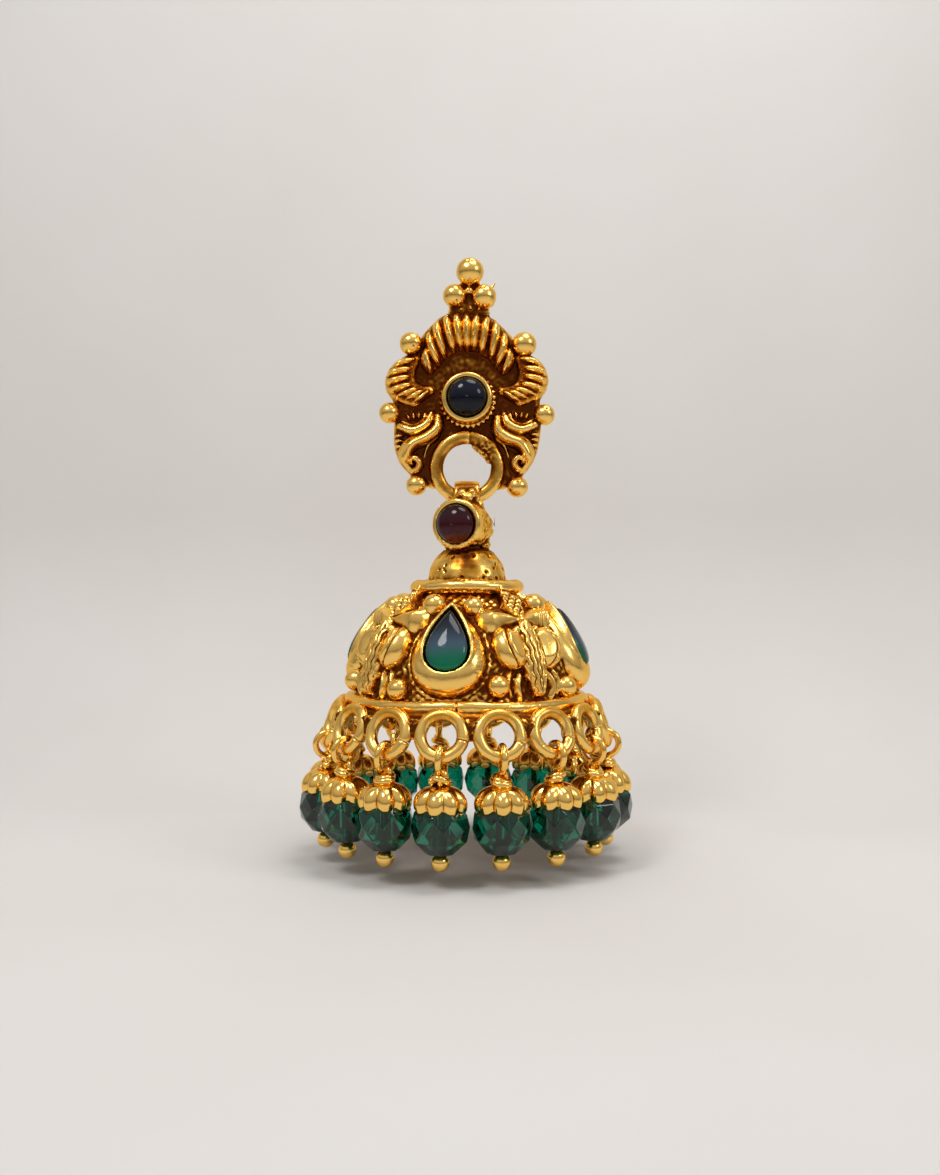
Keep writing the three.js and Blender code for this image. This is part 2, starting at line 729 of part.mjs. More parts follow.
function stud() {
  const group = new THREE.Group();
  const stone = meshOf("stud_stone", solidOf(roundStone()), darkStone);
  stone.position.y = -(plateThickness + studBezelRise - stoneDepth);
  const post = meshOf("ear_post", solidOf(earPost()), gold);
  post.position.y = seatGap;
  group.add(meshOf("stud_plaque", studPlaque(), gold), post, stone);
  return group;
}

function beadDrops() {
  const group = new THREE.Group();
  const pieces = [
    { name: "head_pin", solid: headPin(), material: gold },
    { name: "bead_cap", solid: solidOf(beadCap()), material: gold },
    { name: "glass_bead", solid: glassBead(), material: greenGlass },
  ];
  for (let k = 0; k < ringCount; k++) {
    const drop = new THREE.Group();
    drop.rotation.z = THREE.MathUtils.degToRad(bellTurn + (360 * k) / ringCount);
    for (const { name, solid, material } of pieces) {
      const mesh = meshOf(`${name}_${String(k + 1).padStart(2, "0")}`, solid, material);
      mesh.position.set(0, -loopDistance, loopHeight);
      drop.add(mesh);
    }
    group.add(drop);
  }
  return group;
}

function hangingBell() {
  const group = new THREE.Group();
  group.position.y = ringPlane;
  group.add(meshOf("bell", bell(), gold));
  const neckStone = meshOf("neck_stone", solidOf(roundStone()), redStone);
  const neckAngle = THREE.MathUtils.degToRad(neckTurn);
  const seat = neckBezelReach - stoneDepth;
  neckStone.position.set(seat * Math.sin(neckAngle), -seat * Math.cos(neckAngle), neckHeight);
  neckStone.rotation.z = neckAngle;
  group.add(neckStone);
  for (let k = 0; k < settingCount; k++) {
    const stone = meshOf(`drop_stone_${k + 1}`, solidOf(pearStone()), greenStone);
    stone.applyMatrix4(onDome((k * 360) / settingCount, settingCentre));
    group.add(stone);
  }
  group.add(beadDrops());
  return group;
}

const earring = new THREE.Group();
earring.add(stud(), hangingBell());

export default earring;
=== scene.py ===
import bmesh
import bpy
import math
import numpy as np
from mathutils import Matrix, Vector, noise


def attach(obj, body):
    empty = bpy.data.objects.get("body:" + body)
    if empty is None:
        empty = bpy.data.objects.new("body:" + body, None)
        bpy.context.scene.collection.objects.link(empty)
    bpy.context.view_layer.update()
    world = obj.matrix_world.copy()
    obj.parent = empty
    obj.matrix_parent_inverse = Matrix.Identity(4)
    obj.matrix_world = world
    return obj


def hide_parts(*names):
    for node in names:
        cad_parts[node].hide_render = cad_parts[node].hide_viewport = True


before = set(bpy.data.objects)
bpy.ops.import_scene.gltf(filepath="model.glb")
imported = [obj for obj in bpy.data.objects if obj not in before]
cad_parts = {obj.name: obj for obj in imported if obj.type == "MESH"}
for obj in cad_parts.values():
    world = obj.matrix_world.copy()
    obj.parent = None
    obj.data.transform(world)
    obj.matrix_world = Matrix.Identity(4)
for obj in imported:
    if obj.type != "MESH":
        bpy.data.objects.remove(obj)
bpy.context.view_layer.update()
mm = 0.001
swingAxisY = -0.95  # the bell hangs in the carrying ring's own plane
print("frame loaded with", len(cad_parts), "solids")


# Shapes. Each is its points in mm and its faces, and closes on itself.

def skin(rings, loop=False):
    rings = np.asarray(rings, float)
    rows, count = rings.shape[:2]
    grid = np.arange(rows * count).reshape(rows, count)
    if loop:
        grid = np.vstack([grid, grid[:1]])
    nextAcross = np.roll(grid, -1, axis=1)
    quads = np.stack([grid[:-1], nextAcross[:-1], nextAcross[1:], grid[1:]], axis=-1).reshape(-1, 4).tolist()
    ends = [] if loop else [grid[0][::-1].tolist(), grid[-1].tolist()]
    return rings.reshape(-1, 3), quads + ends


def together(shapes):
    points, faces, start = [], [], 0
    for shapePoints, shapeFaces in shapes:
        points.append(shapePoints)
        faces += [[i + start for i in face] for face in shapeFaces]
        start += len(shapePoints)
    return np.vstack(points), faces


def shifted(shape, by):
    return shape[0] + np.array(by), shape[1]


def spun(shape, degrees, axis=2):
    a, b = [(1, 2), (2, 0), (0, 1)][axis]
    c, s = math.cos(math.radians(degrees)), math.sin(math.radians(degrees))
    matrix = np.eye(3)
    matrix[a, a], matrix[a, b], matrix[b, a], matrix[b, b] = c, -s, s, c
    return shape[0] @ matrix.T, shape[1]


def ball(centre, radius, squash=(1, 1, 1), sides=24):
    rows = np.pi * (np.arange(sides // 2) + 0.5) / (sides // 2)
    around = 2 * np.pi * np.arange(sides) / sides
    rings = [[(math.sin(r) * math.cos(a), math.sin(r) * math.sin(a), math.cos(r)) for a in around] for r in rows]
    points, faces = skin(rings)
    return points * radius * np.array(squash) + np.array(centre), faces


# A closed outline of [radius, height] pairs turned about Z; wobble(angle) may shift it a little.
def turned(outline, sides, wobble=None):
    rings = []
    for angle in 2 * np.pi * np.arange(sides) / sides:
        out, up = wobble(angle) if wobble else (0, 0)
        rings.append([((r + out) * math.sin(angle), -(r + out) * math.cos(angle), z + up) for r, z in outline])
    return skin(rings, loop=True)


# The same turned about the Y axis, with heights towards the front.
def turnedToFront(outline, sides):
    points, faces = turned(outline, sides)
    return np.stack([points[:, 0], -points[:, 2], -points[:, 1]], axis=1), faces


def unit(vectors):
    return vectors / np.linalg.norm(vectors, axis=-1, keepdims=True)


# A section of [side, up] pairs carried along a path.
def swept(path, up, section, size=1.0):
    path = np.asarray(path, float)
    ahead = unit(np.gradient(path, axis=0))
    up = np.broadcast_to(np.asarray(up, float), path.shape)
    up = unit(up - (up * ahead).sum(1, keepdims=True) * ahead)
    side = np.cross(ahead, up)
    section = np.asarray(section, float)
    size = np.broadcast_to(size, len(path))[:, None, None]
    rings = path[:, None] + size * (side[:, None] * section[:, :1] + up[:, None] * section[:, 1:])
    return skin(rings)


def roundSection(radius, sides=10):
    angles = 2 * np.pi * np.arange(sides) / sides
    return radius * np.stack([np.cos(angles), np.sin(angles)], axis=1)


# A wire that was hammered flat: a square section with well rounded corners.
def flatSection(halfWide, halfDeep, sides=16, squareness=0.6):
    angles = 2 * np.pi * (np.arange(sides) + 0.5) / sides
    c, s = np.cos(angles), np.sin(angles)
    return np.stack([halfWide * np.sign(c) * abs(c) ** squareness, halfDeep * np.sign(s) * abs(s) ** squareness], 1)


def smoothLine(points, count):
    p = np.asarray(points, float)
    p = np.vstack([2 * p[0] - p[1], p, 2 * p[-1] - p[-2]])
    t = np.linspace(0, len(p) - 3, count)
    k = np.minimum(t.astype(int), len(p) - 4)
    f = (t - k)[:, None]
    a, b, c, d = p[k], p[k + 1], p[k + 2], p[k + 3]
    return 0.5 * (2 * b + (c - a) * f + (2 * a - 5 * b + 4 * c - d) * f**2 + (3 * b - 3 * c + d - a) * f**3)


# Relief. Heights in mm over flat points q, one row [across, up] for each.

def fromLine(q, line):
    start, step = line[:-1], np.diff(line, axis=0)
    share = np.clip(((q[:, None] - start) * step).sum(-1) / (step**2).sum(-1), 0, 1)
    gap = q[:, None] - start - share[..., None] * step
    distance = np.hypot(gap[..., 0], gap[..., 1])
    best = distance.argmin(1)
    row = np.arange(len(q))
    return distance[row, best], (best + share[row, best]) / len(step)


def ridge(q, points, halfWidth, height, tip=0.35, crest=0.0, count=14, lens=0.5):
    distance, share = fromLine(q, smoothLine(points, count))
    swell = tip + (1 - tip) * np.sin(np.pi * np.clip(share, 0.01, 0.99)) ** lens
    across = np.clip(distance / (halfWidth * swell), 0, 1)
    return height * swell * ((1 - crest) * np.sqrt(1 - across**2) + crest * (1 - across))


def bump(q, centre, half, height):
    rho = np.hypot((q[:, 0] - centre[0]) / half[0], (q[:, 1] - centre[1]) / half[1])
    return height * np.sqrt(np.clip(1 - rho**2, 0, 1))


def fromOutline(q, outline):
    ring = np.vstack([outline, outline[:1]])
    distance, _ = fromLine(q, ring)
    a, b = ring[:-1], ring[1:]
    above = (a[:, 1] > q[:, 1:]) != (b[:, 1] > q[:, 1:])
    level = np.where(a[:, 1] == b[:, 1], 1e-9, b[:, 1] - a[:, 1])
    crossing = a[:, 0] + (q[:, 1:] - a[:, 1]) * (b[:, 0] - a[:, 0]) / level
    inside = (above & (q[:, :1] < crossing)).sum(1) % 2 == 1
    return np.where(inside, distance, -distance)


def rounded(depth, reach):
    share = np.clip(depth / reach, 0, 1)
    return np.sqrt(1 - (1 - share) ** 2)


def pearTable(sharpness):
    angle = np.linspace(-np.pi, np.pi, 181)
    x = np.sin(angle) * np.abs(np.sin(angle / 2)) ** sharpness
    x, z = 0.5 * x / x.max(), 0.5 * np.cos(angle)
    turn = np.arctan2(x, z + 0.15)
    order = np.argsort(turn)
    return turn[order], np.hypot(x, z + 0.15)[order]


# How far out a point lies on a pear outline with its tip up: 1 is on the outline.
def pearShare(q, centre, width, height, sharpness):
    turn, reach = pearTable(sharpness)
    x, z = (q[:, 0] - centre[0]) / width, (q[:, 1] - centre[1]) / height
    return np.hypot(x, z + 0.15) / np.interp(np.arctan2(x, z + 0.15), turn, reach, period=2 * np.pi)


# Meshes

def relaxed(values, edges, rounds):
    a, b = np.concatenate([edges, edges[:, ::-1]]).T
    order = np.argsort(a, kind="stable")
    b, count = b[order], np.bincount(a, minlength=len(values))
    starts = np.concatenate([[0], np.cumsum(count)[:-1]])
    for _ in range(rounds):
        values = np.add.reduceat(values[b], starts, axis=0) / count[:, None]
    return values


def numbersOf(items, key, width, kind=float):
    numbers = np.empty(len(items) * width, kind)
    items.foreach_get(key, numbers)
    return numbers.reshape(-1, width)


def pointsOf(mesh):
    return numbersOf(mesh.vertices, "co", 3)


def edgesOf(mesh):
    return numbersOf(mesh.edges, "vertices", 2, int)


def normalsOf(mesh):
    return numbersOf(mesh.vertex_normals, "vector", 3)


def setPoints(mesh, points):
    mesh.vertices.foreach_set("co", np.asarray(points, np.float32).ravel())
    mesh.update()


def meshObject(name, shape):
    mesh = bpy.data.meshes.new(name)
    mesh.from_pydata(shape[0].tolist(), [], shape[1])
    obj = bpy.data.objects.new(name, mesh)
    bpy.context.scene.collection.objects.link(obj)
    return obj


def applied(obj):
    shown = obj.evaluated_get(bpy.context.evaluated_depsgraph_get())
    mesh = bpy.data.meshes.new_from_object(shown)
    old = obj.data
    obj.modifiers.clear()
    obj.data = mesh
    bpy.data.meshes.remove(old)
    return obj


# One cast body from overlapping shapes: fused, smoothed, changed by reshape(points, normals), thinned to a limit.
def fused(name, shapes, voxel, triangles, reshape):
    obj = meshObject(name, together(shapes))
    melt = obj.modifiers.new("melt", "REMESH")
    melt.mode = "VOXEL"
    melt.voxel_size = voxel
    applied(obj)
    mesh = obj.data
    points = relaxed(pointsOf(mesh), edgesOf(mesh), 2)
    setPoints(mesh, points)
    setPoints(mesh, reshape(points, normalsOf(mesh)))
    made = 2 * len(mesh.polygons)
    if made > triangles:
        thin = obj.modifiers.new("thin", "DECIMATE")
        thin.ratio = triangles / made
        applied(obj)
    print(name, "fused from", made, "to", len(obj.data.polygons), "faces")
    return obj


# Patina gathers where the metal is hollow and where it lies low; it is kept on the mesh as a number from 0 to 1.
# low(points) may also add painted shade, which is kept in the same number.
def layPatinaAndShade(obj, low=None, fine=5.0, broad=2.6, base=0.3):
    mesh = obj.data
    points, edges, normals = pointsOf(mesh), edgesOf(mesh), normalsOf(mesh)
    near = ((relaxed(points, edges, 6) - points) * normals).sum(1)
    wide = ((relaxed(points, edges, 60) - points) * normals).sum(1)
    dark = base + fine * near + broad * wide
    if low is not None:
        dark = dark + low(points)
    layer = mesh.attributes.new("patinaAndShade", "FLOAT", "POINT")
    layer.data.foreach_set("value", np.clip(dark, 0, 1).astype(np.float32))


def finishPiece(obj, body, nodes, material, flat=False):
    setPoints(obj.data, pointsOf(obj.data) * mm)
    obj.data.polygons.foreach_set("use_smooth", [not flat] * len(obj.data.polygons))
    obj.data.materials.clear()
    obj.data.materials.append(material)
    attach(obj, body)
    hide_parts(*nodes)
    return obj


# Turns all faces outwards and takes the sharpness off the edges where a bevel is given, in mm.
def facedOut(obj, bevel=0):
    work = bmesh.new()
    work.from_mesh(obj.data)
    bmesh.ops.recalc_face_normals(work, faces=work.faces)
    if bevel:
        sharp = [e for e in work.edges if e.calc_face_angle(0) > 0.05]
        bmesh.ops.bevel(work, geom=sharp, offset=bevel, segments=1, affect="EDGES")
    work.to_mesh(obj.data)
    work.free()
    return obj


def rough(points, size, seed=0.0):
    return np.array([noise.noise(p) for p in points / size + seed])


# Materials

def freshMaterial(name):
    material = bpy.data.materials.new(name)
    material.use_nodes = True
    tree = material.node_tree
    return material, tree, tree.nodes["Principled BSDF"]


def addNode(tree, kind, settings=None, **inputs):
    node = tree.nodes.new("ShaderNode" + kind)
    for key, value in (settings or {}).items():
        setattr(node, key, value)
    for key, value in inputs.items():
        socket = node.inputs[int(key[2:]) if key.startswith("at") else key]
        if isinstance(value, bpy.types.NodeSocket):
            tree.links.new(value, socket)
        else:
            socket.default_value = value
    return node


def colourRamp(tree, factor, stops):
    node = addNode(tree, "ValToRGB", at0=factor)
    ramp = node.color_ramp
    while len(ramp.elements) < len(stops):
        ramp.elements.new(0.5)
    for element, (place, colour) in zip(ramp.elements, stops):
        element.position = place
        element.color = (*colour, 1)
    return node.outputs["Color"]


def ranged(tree, value, low, high, lowTo, highTo):
    node = addNode(tree, "MapRange", at0=value, at1=low, at2=high, at3=lowTo, at4=highTo)
    return node.outputs[0]


def math2(tree, operation, a, b):
    return addNode(tree, "Math", {"operation": operation}, at0=a, at1=b).outputs[0]


def noiseAt(tree, where, scale, detail=3.0):
    return addNode(tree, "TexNoise", Vector=where, Scale=scale, Detail=detail).outputs["Fac"]


antiqueGold = {
    "bright": (1.0, 0.63, 0.165),
    "body": (0.82, 0.40, 0.05),
    "brown": (0.32, 0.105, 0.01),
    # the darkest stop, for patina and for the painted shade that low() adds
    "dirtAndShade": (0.11, 0.024, 0.003),
    "edge": (1.0, 0.80, 0.45),
    "dullness": 0.42,
    "grain": 0.012,
}


# Cast or drawn gold: bright on what is rubbed, red-brown where the patina and painted shade lie, with a fine grain and
# small pits.
def goldMaterial(name, cloud, pits, polish):
    material, tree, shader = freshMaterial(name)
    where = addNode(tree, "TexCoord").outputs["Object"]
    patinaAndShade = addNode(tree, "Attribute", {"attribute_name": "patinaAndShade"}).outputs["Fac"]
    clouds = noiseAt(tree, where, 1300.0)
    ageAndShade = math2(tree, "ADD", patinaAndShade, math2(tree, "MULTIPLY", math2(tree, "SUBTRACT", clouds, 0.5), cloud))
    colour = colourRamp(tree, ageAndShade, [
        (0.0, antiqueGold["bright"]), (0.3, antiqueGold["bright"]), (0.45, antiqueGold["body"]),
        (0.65, antiqueGold["brown"]), (0.88, antiqueGold["dirtAndShade"])])
    tree.links.new(colour, shader.inputs["Base Color"])
    tree.links.new(ranged(tree, ageAndShade, 0.3, 0.9, polish, antiqueGold["dullness"]), shader.inputs["Roughness"])
    tree.links.new(ranged(tree, ageAndShade, 0.75, 1.0, 1.0, 0.92), shader.inputs["Metallic"])
    shader.inputs["Specular Tint"].default_value = (*antiqueGold["edge"], 1.0)
    grain = noiseAt(tree, where, 7000.0, 5.0)
    cells = addNode(tree, "TexVoronoi", Vector=where, Scale=1700.0).outputs["Distance"]
    pitted = ranged(tree, cells, 0.0, 0.16, -pits, 0.0)
    relief = math2(tree, "ADD", math2(tree, "MULTIPLY", grain, 0.5), pitted)
    bumpNode = addNode(tree, "Bump", Height=relief, Strength=0.6, Distance=antiqueGold["grain"] * mm)
    tree.links.new(bumpNode.outputs["Normal"], shader.inputs["Normal"])
    return material


castGold = goldMaterial("castGold", 0.3, 1.6, 0.22)
soldered = goldMaterial("solderedGold", 0.35, 1.0, 0.24)
wireGold = goldMaterial("wireGold", 0.25, 0.5, 0.16)


# Stud plaque: places are mm from the stone's centre, written for the right half and mirrored

plaque = {
    "halfWidth": 6.1, "rise": 6.85, "fall": 6.9, "plate": 0.82, "edgeRound": 0.42,
    "voxel": 0.055, "triangles": 190000,
    "edge": [(0.12, 1.05), (0.27, 1.0), (0.37, 0.95), (0.47, 0.86), (0.57, 0.77), (0.62, 0.68), (0.63, 0.6),
             (0.73, 0.56), (0.82, 0.53), (0.93, 0.465), (1.03, 0.355), (1.07, 0.23), (1.04, 0.12), (0.96, 0.01),
             (0.94, -0.16), (0.96, -0.3), (0.955, -0.42), (0.93, -0.56), (0.88, -0.7), (0.79, -0.8), (0.66, -0.94),
             (0.45, -1.02)],
    "fanHeight": 0.42, "fanRib": 0.98, "fanRibHalf": 0.4,
    # each rib's top and foot
    "fanRibs": [((0, 6.7), (0, 3.95)), ((0.8, 6.68), (0.51, 3.98)), ((1.59, 6.5), (1.08, 3.72)),
                ((2.35, 6.08), (1.82, 3.25)), ((3.0, 5.1), (2.29, 2.65)), ((3.36, 3.83), (2.87, 2.05))],
    "shellHeight": 0.5, "shellRib": 0.72, "shellRibHalf": 0.31,
    "shellRibs": [((6.15, 2.55), (4.15, 3.15)), ((6.35, 1.95), (4.4, 2.42)), ((6.33, 1.3), (4.46, 1.8)),
                  ((6.1, 0.68), (4.28, 1.22)), ((5.4, 0.3), (3.85, 0.86)), ((4.78, 0.0), (3.42, 0.7)),
                  ((4.15, -0.2), (2.9, 0.66))],
    "scrolls": [
        {"line": [(5.3, -2.05), (4.25, -2.5), (3.25, -2.05), (2.87, -1.2)], "half": 0.48, "high": 1.25},
        {"line": [(5.2, -1.65), (4.3, -2.05), (3.6, -1.75), (3.3, -1.25)], "half": 0.13, "high": 0.75},
        {"line": [(2.35, -1.45), (2.4, -2.4), (3.3, -3.15), (4.3, -3.6), (4.8, -4.4), (4.95, -5.1), (4.5, -5.65)],
         "half": 0.56, "high": 1.45},
        {"line": [(2.8, -1.75), (2.95, -2.4), (3.8, -2.85), (4.75, -3.3), (5.3, -4.2), (5.35, -5.0)],
         "half": 0.15, "high": 0.85},
        {"line": [(4.6, -5.6), (3.98, -5.6), (3.72, -5.1), (4.02, -4.68), (4.42, -4.85), (4.3, -5.15)],
         "half": 0.34, "high": 1.3},
        {"line": [(2.05, -2.3), (2.35, -3.1), (3.0, -3.7), (3.35, -4.6)], "half": 0.13, "high": 0.5}],
    # short rays and ticks: both ends, half the width, the height
    "ticks": [
        ((3.5, -1.6), (3.3, -1.05), 0.15, 0.6), ((3.85, -1.6), (3.8, -0.98), 0.15, 0.7),
        ((4.2, -1.6), (4.3, -1.02), 0.15, 0.65), ((4.55, -1.6), (4.78, -1.15), 0.14, 0.55),
        ((4.98, -2.85), (5.68, -2.8), 0.15, 0.62), ((5.0, -3.25), (5.7, -3.22), 0.15, 0.62),
        ((5.2, -3.66), (5.72, -3.66), 0.15, 0.6), ((5.4, -4.08), (5.72, -4.08), 0.14, 0.5)],
    # x, z and radius of each
    "granules": [(0.24, 10.05, 1.09), (-0.98, 8.2, 0.92), (1.34, 8.1, 0.97), (-4.42, 4.42, 0.9), (4.52, 4.34, 0.97),
                 (-6.12, -1.05, 0.83), (6.12, -1.2, 0.83), (-3.98, -6.75, 0.82), (3.98, -6.9, 0.84)],
    "pits": [(0.1, 10.72), (0.42, 10.75), (-0.88, 8.98), (-0.76, 7.66), (1.36, 8.74), (6.3, -0.75), (-1.5, 5.1),
             (0.5, 5.0), (-4.15, 4.1), (4.0, -6.5)],
    "ringCentre": -5.42, "ringRadius": 2.42, "ringStand": 0.95,
}


def plaqueOutline():
    right = [(x * plaque["halfWidth"], z * (plaque["rise"] if z > 0 else plaque["fall"])) for x, z in plaque["edge"]]
    return np.array(right + [(-x, z) for x, z in reversed(right)])


def ribbedShell(q, ribs, height, rib, half, mirrored, brim):
    tops, feet = np.array(ribs, float).transpose(1, 0, 2)
    if mirrored:
        tops, feet = [np.vstack([(end * (-1, 1))[:0:-1], end]) for end in (tops, feet)]
    body = height * rounded(fromOutline(q, np.vstack([tops, feet[::-1]])) + brim, 0.75)
    ribsOn = np.zeros(len(q))
    crowding = [1] * len(tops) if mirrored else [1, 1, 1, 0.95, 0.8, 0.7, 0.65]
    for top, foot, room in zip(tops, feet, crowding):
        bow = (top + foot) / 2 + 0.06 * (top - feet.mean(0))
        ribsOn = np.maximum(ribsOn, ridge(q, [top, bow, foot], room * half, room * rib, tip=0.15, crest=0.1, count=8,
                                            lens=0.36 if mirrored else 0.5))
    return body + ribsOn


def plaqueTop(x, z):
    x = x + 0.05 * np.sin(1.3 * z + 0.5)  # cast by hand, so the two halves differ a little
    z = z + 0.06 * np.sin(0.9 * x + 0.4)
    q, mirroredQ = np.stack([x, z], 1), np.stack([abs(x), z], 1)
    fromStone = np.hypot(x, z)
    dish = np.clip((fromStone - 2.2) / 1.2, 0, 1) * np.clip((3.6 - fromStone) / 0.6, 0, 1)
    ground = plaque["plate"] + 0.018 * dish * np.cos(44 * np.arctan2(x, z))
    relief = ribbedShell(q, plaque["fanRibs"], plaque["fanHeight"], plaque["fanRib"], plaque["fanRibHalf"], True, 0.15)
    shells = ribbedShell(mirroredQ, plaque["shellRibs"], plaque["shellHeight"], plaque["shellRib"],
                         plaque["shellRibHalf"], False, 0.4)
    relief = np.maximum(relief, shells)
    relief = np.maximum(relief, bump(mirroredQ, (3.95, -3.7), (1.75, 2.7), 0.22))
    for scroll in plaque["scrolls"]:
        relief = np.maximum(relief, ridge(mirroredQ, scroll["line"], scroll["half"], scroll["high"], tip=0.5))
    for start, end, half, high in plaque["ticks"]:
        relief = np.maximum(relief, ridge(mirroredQ, [start, end], half, high, tip=0.5))
    fromNotch = np.hypot(x, z - plaque["ringCentre"]) - plaque["ringRadius"] + 0.1
    edge = np.minimum(fromOutline(q, plaqueOutline()), fromNotch)
    return rounded(edge, plaque["edgeRound"]) * (ground + relief), edge > 0


def plaqueSlab(step=0.06):
    across, up = np.arange(-6.8, 6.8, step), np.arange(-7.3, 7.4, step)
    x, z = [g.ravel() for g in np.meshgrid(across, up, indexing="ij")]
    top, keep = plaqueTop(x, z)
    shape = (len(across), len(up))
    keep = keep.reshape(shape)
    count = len(x)
    points = np.vstack([np.stack([x, -top, z], 1), np.stack([x, np.zeros(count), z], 1)])
    grid = np.arange(count).reshape(shape)
    cell = keep[:-1, :-1] | keep[1:, :-1] | keep[:-1, 1:] | keep[1:, 1:]
    front = np.stack([c[cell] for c in (grid[:-1, :-1], grid[1:, :-1], grid[1:, 1:], grid[:-1, 1:])], 1)
    padded = np.pad(cell, 1)
    alongX = padded[1:-1, :-1] != padded[1:-1, 1:]
    alongZ = padded[:-1, 1:-1] != padded[1:, 1:-1]
    edges = np.vstack([np.stack([grid[:-1][alongX], grid[1:][alongX]], 1),
                       np.stack([grid[:, :-1][alongZ], grid[:, 1:][alongZ]], 1)])
    walls = np.stack([edges[:, 0], edges[:, 1], edges[:, 1] + count, edges[:, 0] + count], 1)
    return points, np.vstack([front, front[:, ::-1] + count, walls]).tolist()


cup = {"stone": 1.52, "wall": 0.42, "seat": 0.7, "teeth": 30, "toothRadius": 2.28}


def cupOutline(reach, foot):
    inner, outer = cup["stone"] - 0.02, cup["stone"] + cup["wall"] + 0.04
    middle = (inner + outer) / 2
    return [(0.01, foot), (outer + 0.05, foot), (outer + 0.02, reach - 0.5), (outer, reach - 0.16),
            (outer - 0.08, reach - 0.04), (middle, reach + 0.02), (inner + 0.08, reach - 0.04), (inner, reach - 0.16),
            (inner, reach - cup["seat"]), (0.01, reach - cup["seat"])]


def toothRing():
    count = cup["teeth"] * 6
    rings = []
    for k, angle in enumerate(2 * np.pi * np.arange(count) / count):
        outer = cup["toothRadius"] - (0.0, 0.02, 0.14, 0.2, 0.14, 0.02)[k % 6]
        outline = [(1.4, 0.4), (outer, 0.4), (outer, 1.25), (outer - 0.12, 1.42), (1.4, 1.42)]
        rings.append([(r * math.sin(angle) + 0.07, -y, r * math.cos(angle) - 0.09) for r, y in outline])
    return skin(rings, loop=True)


def openRing(radius, section, gapDegrees, seamAt, misfit, steps=56):
    span = np.radians(np.linspace(gapDegrees / 2, 360 - gapDegrees / 2, steps) + seamAt)
    drift = np.linspace(-misfit, misfit, steps)
    path = np.stack([radius * np.cos(span), drift, radius * np.sin(span)], 1)
    return swept(path, (0, -1, 0), section)


def studPlaque():
    shapes = [plaqueSlab(), toothRing(), turnedToFront(cupOutline(2.4, 0.4), 72)]
    for x, z, r in plaque["granules"]:
        shapes.append(ball((x, -r, z), r, sides=36))
    web = np.array([(-1.5, 6.7), (1.8, 6.7), (1.75, 7.7), (1.1, 9.2), (-0.6, 9.2), (-1.35, 7.8)])
    shapes.append(skin([[(x, y, z) for x, z in web] for y in (-0.12, -0.85)]))
    for x, z, r in [(-0.46, 7.12, 0.15), (0.29, 7.24, 0.16), (0.97, 7.18, 0.14), (0.16, 8.6, 0.3)]:
        shapes.append(ball((x, -0.98, z), r))
    spur = swept(smoothLine([(1.8, -0.8, 8.75), (2.15, -0.85, 9.1), (2.2, -0.9, 9.3)], 6), (0, -1, 0),
                 roundSection(0.16), np.linspace(1, 0.3, 6))
    ring = shifted(openRing(plaque["ringRadius"], flatSection(0.53, 0.5, 16, 0.8), 1.6, 86, 0.06),
                   (0, -plaque["ringStand"], plaque["ringCentre"]))
    shapes += [spur, ring]
    for angle, r in [(20, 0.3), (33, 0.34), (45, 0.4), (58, 0.36), (70, 0.28)]:
        reach = 1.83
        a = math.radians(angle)
        place = (reach * math.cos(a), -0.95, plaque["ringCentre"] + reach * math.sin(a))
        shapes.append(ball(place, r, (1, 0.7, 1)))

    def reshape(points, normals):
        fine = rough(points, 0.9) * 0.018 + rough(points, 0.3, 7) * 0.008
        onPlate = np.clip((1.25 + points[:, 1]) / 0.3, 0, 1) * (points[:, 1] < -0.6)
        fine = fine + rough(points, 0.34, 1) * 0.035 * onPlate
        nearFlash = np.exp(-((points[:, 0] - 1.3) ** 2 + (points[:, 2] + 4.1) ** 2) / 0.5)
        fine = fine + nearFlash * rough(points, 0.25, 3) * 0.16
        for x, z in plaque["pits"]:
            away = (points[:, 0] - x) ** 2 + (points[:, 2] - z) ** 2
            fine = fine - 0.16 * np.exp(-away / 0.006) * (points[:, 1] < -0.6)
        return points + normals * fine[:, None]

    obj = fused("plaque_gold", shapes, plaque["voxel"], plaque["triangles"], reshape)

    def low(points):
        onRing = np.hypot(points[:, 0], points[:, 2] - plaque["ringCentre"]) < 2.98
        limit = np.where(points[:, 2] > 6.9, 0.95, 1.72)
        depth = np.clip((limit + points[:, 1]) / 0.6, 0, 1)
        return np.where(onRing, 0.48, np.where(points[:, 1] < -0.05, 0.36 * depth, 0.1))

    layPatinaAndShade(obj, low, fine=8.0, broad=3.0)
    return finishPiece(obj, "stud", ["stud_plaque"], castGold)


# Bell: heights are mm above the lower collar, turns are degrees from a teardrop's middle

bell = {
    "turn": -9.6, "collarZ": -23.55, "wall": 0.7, "voxel": 0.062, "triangles": 194000,
    "heights": [0, 1.67, 4.0, 5.845, 7.18, 8.35], "radii": [8.9, 8.5, 7.79, 6.62, 5.24, 3.6],
    "settingHigh": 3.85, "settingWide": 5.5, "settingTall": 6.2,
    "openingHigh": 4.5, "openingWide": 2.96, "openingTall": 4.15, "rim": 1.22,
    "collarRadius": 9.12, "collarWire": 0.5,
    # turn, height and radius of each, beside every teardrop
    "granules": [(-15.5, 7.05, 0.9), (14.5, 7.0, 0.78), (-24.5, 1.2, 0.82), (24.5, 1.5, 0.84)],
}
domeCurve = np.polynomial.Polynomial.fit(bell["heights"], bell["radii"], 4)


def domeRadius(height):
    return domeCurve(np.clip(height, -0.4, 8.6))


# A shape made in front of the bell's axis, carried round it by so many degrees from a teardrop's middle
def roundBell(shape, turn):
    return shifted(spun(shape, bell["turn"] + turn), (0, swingAxisY, 0))


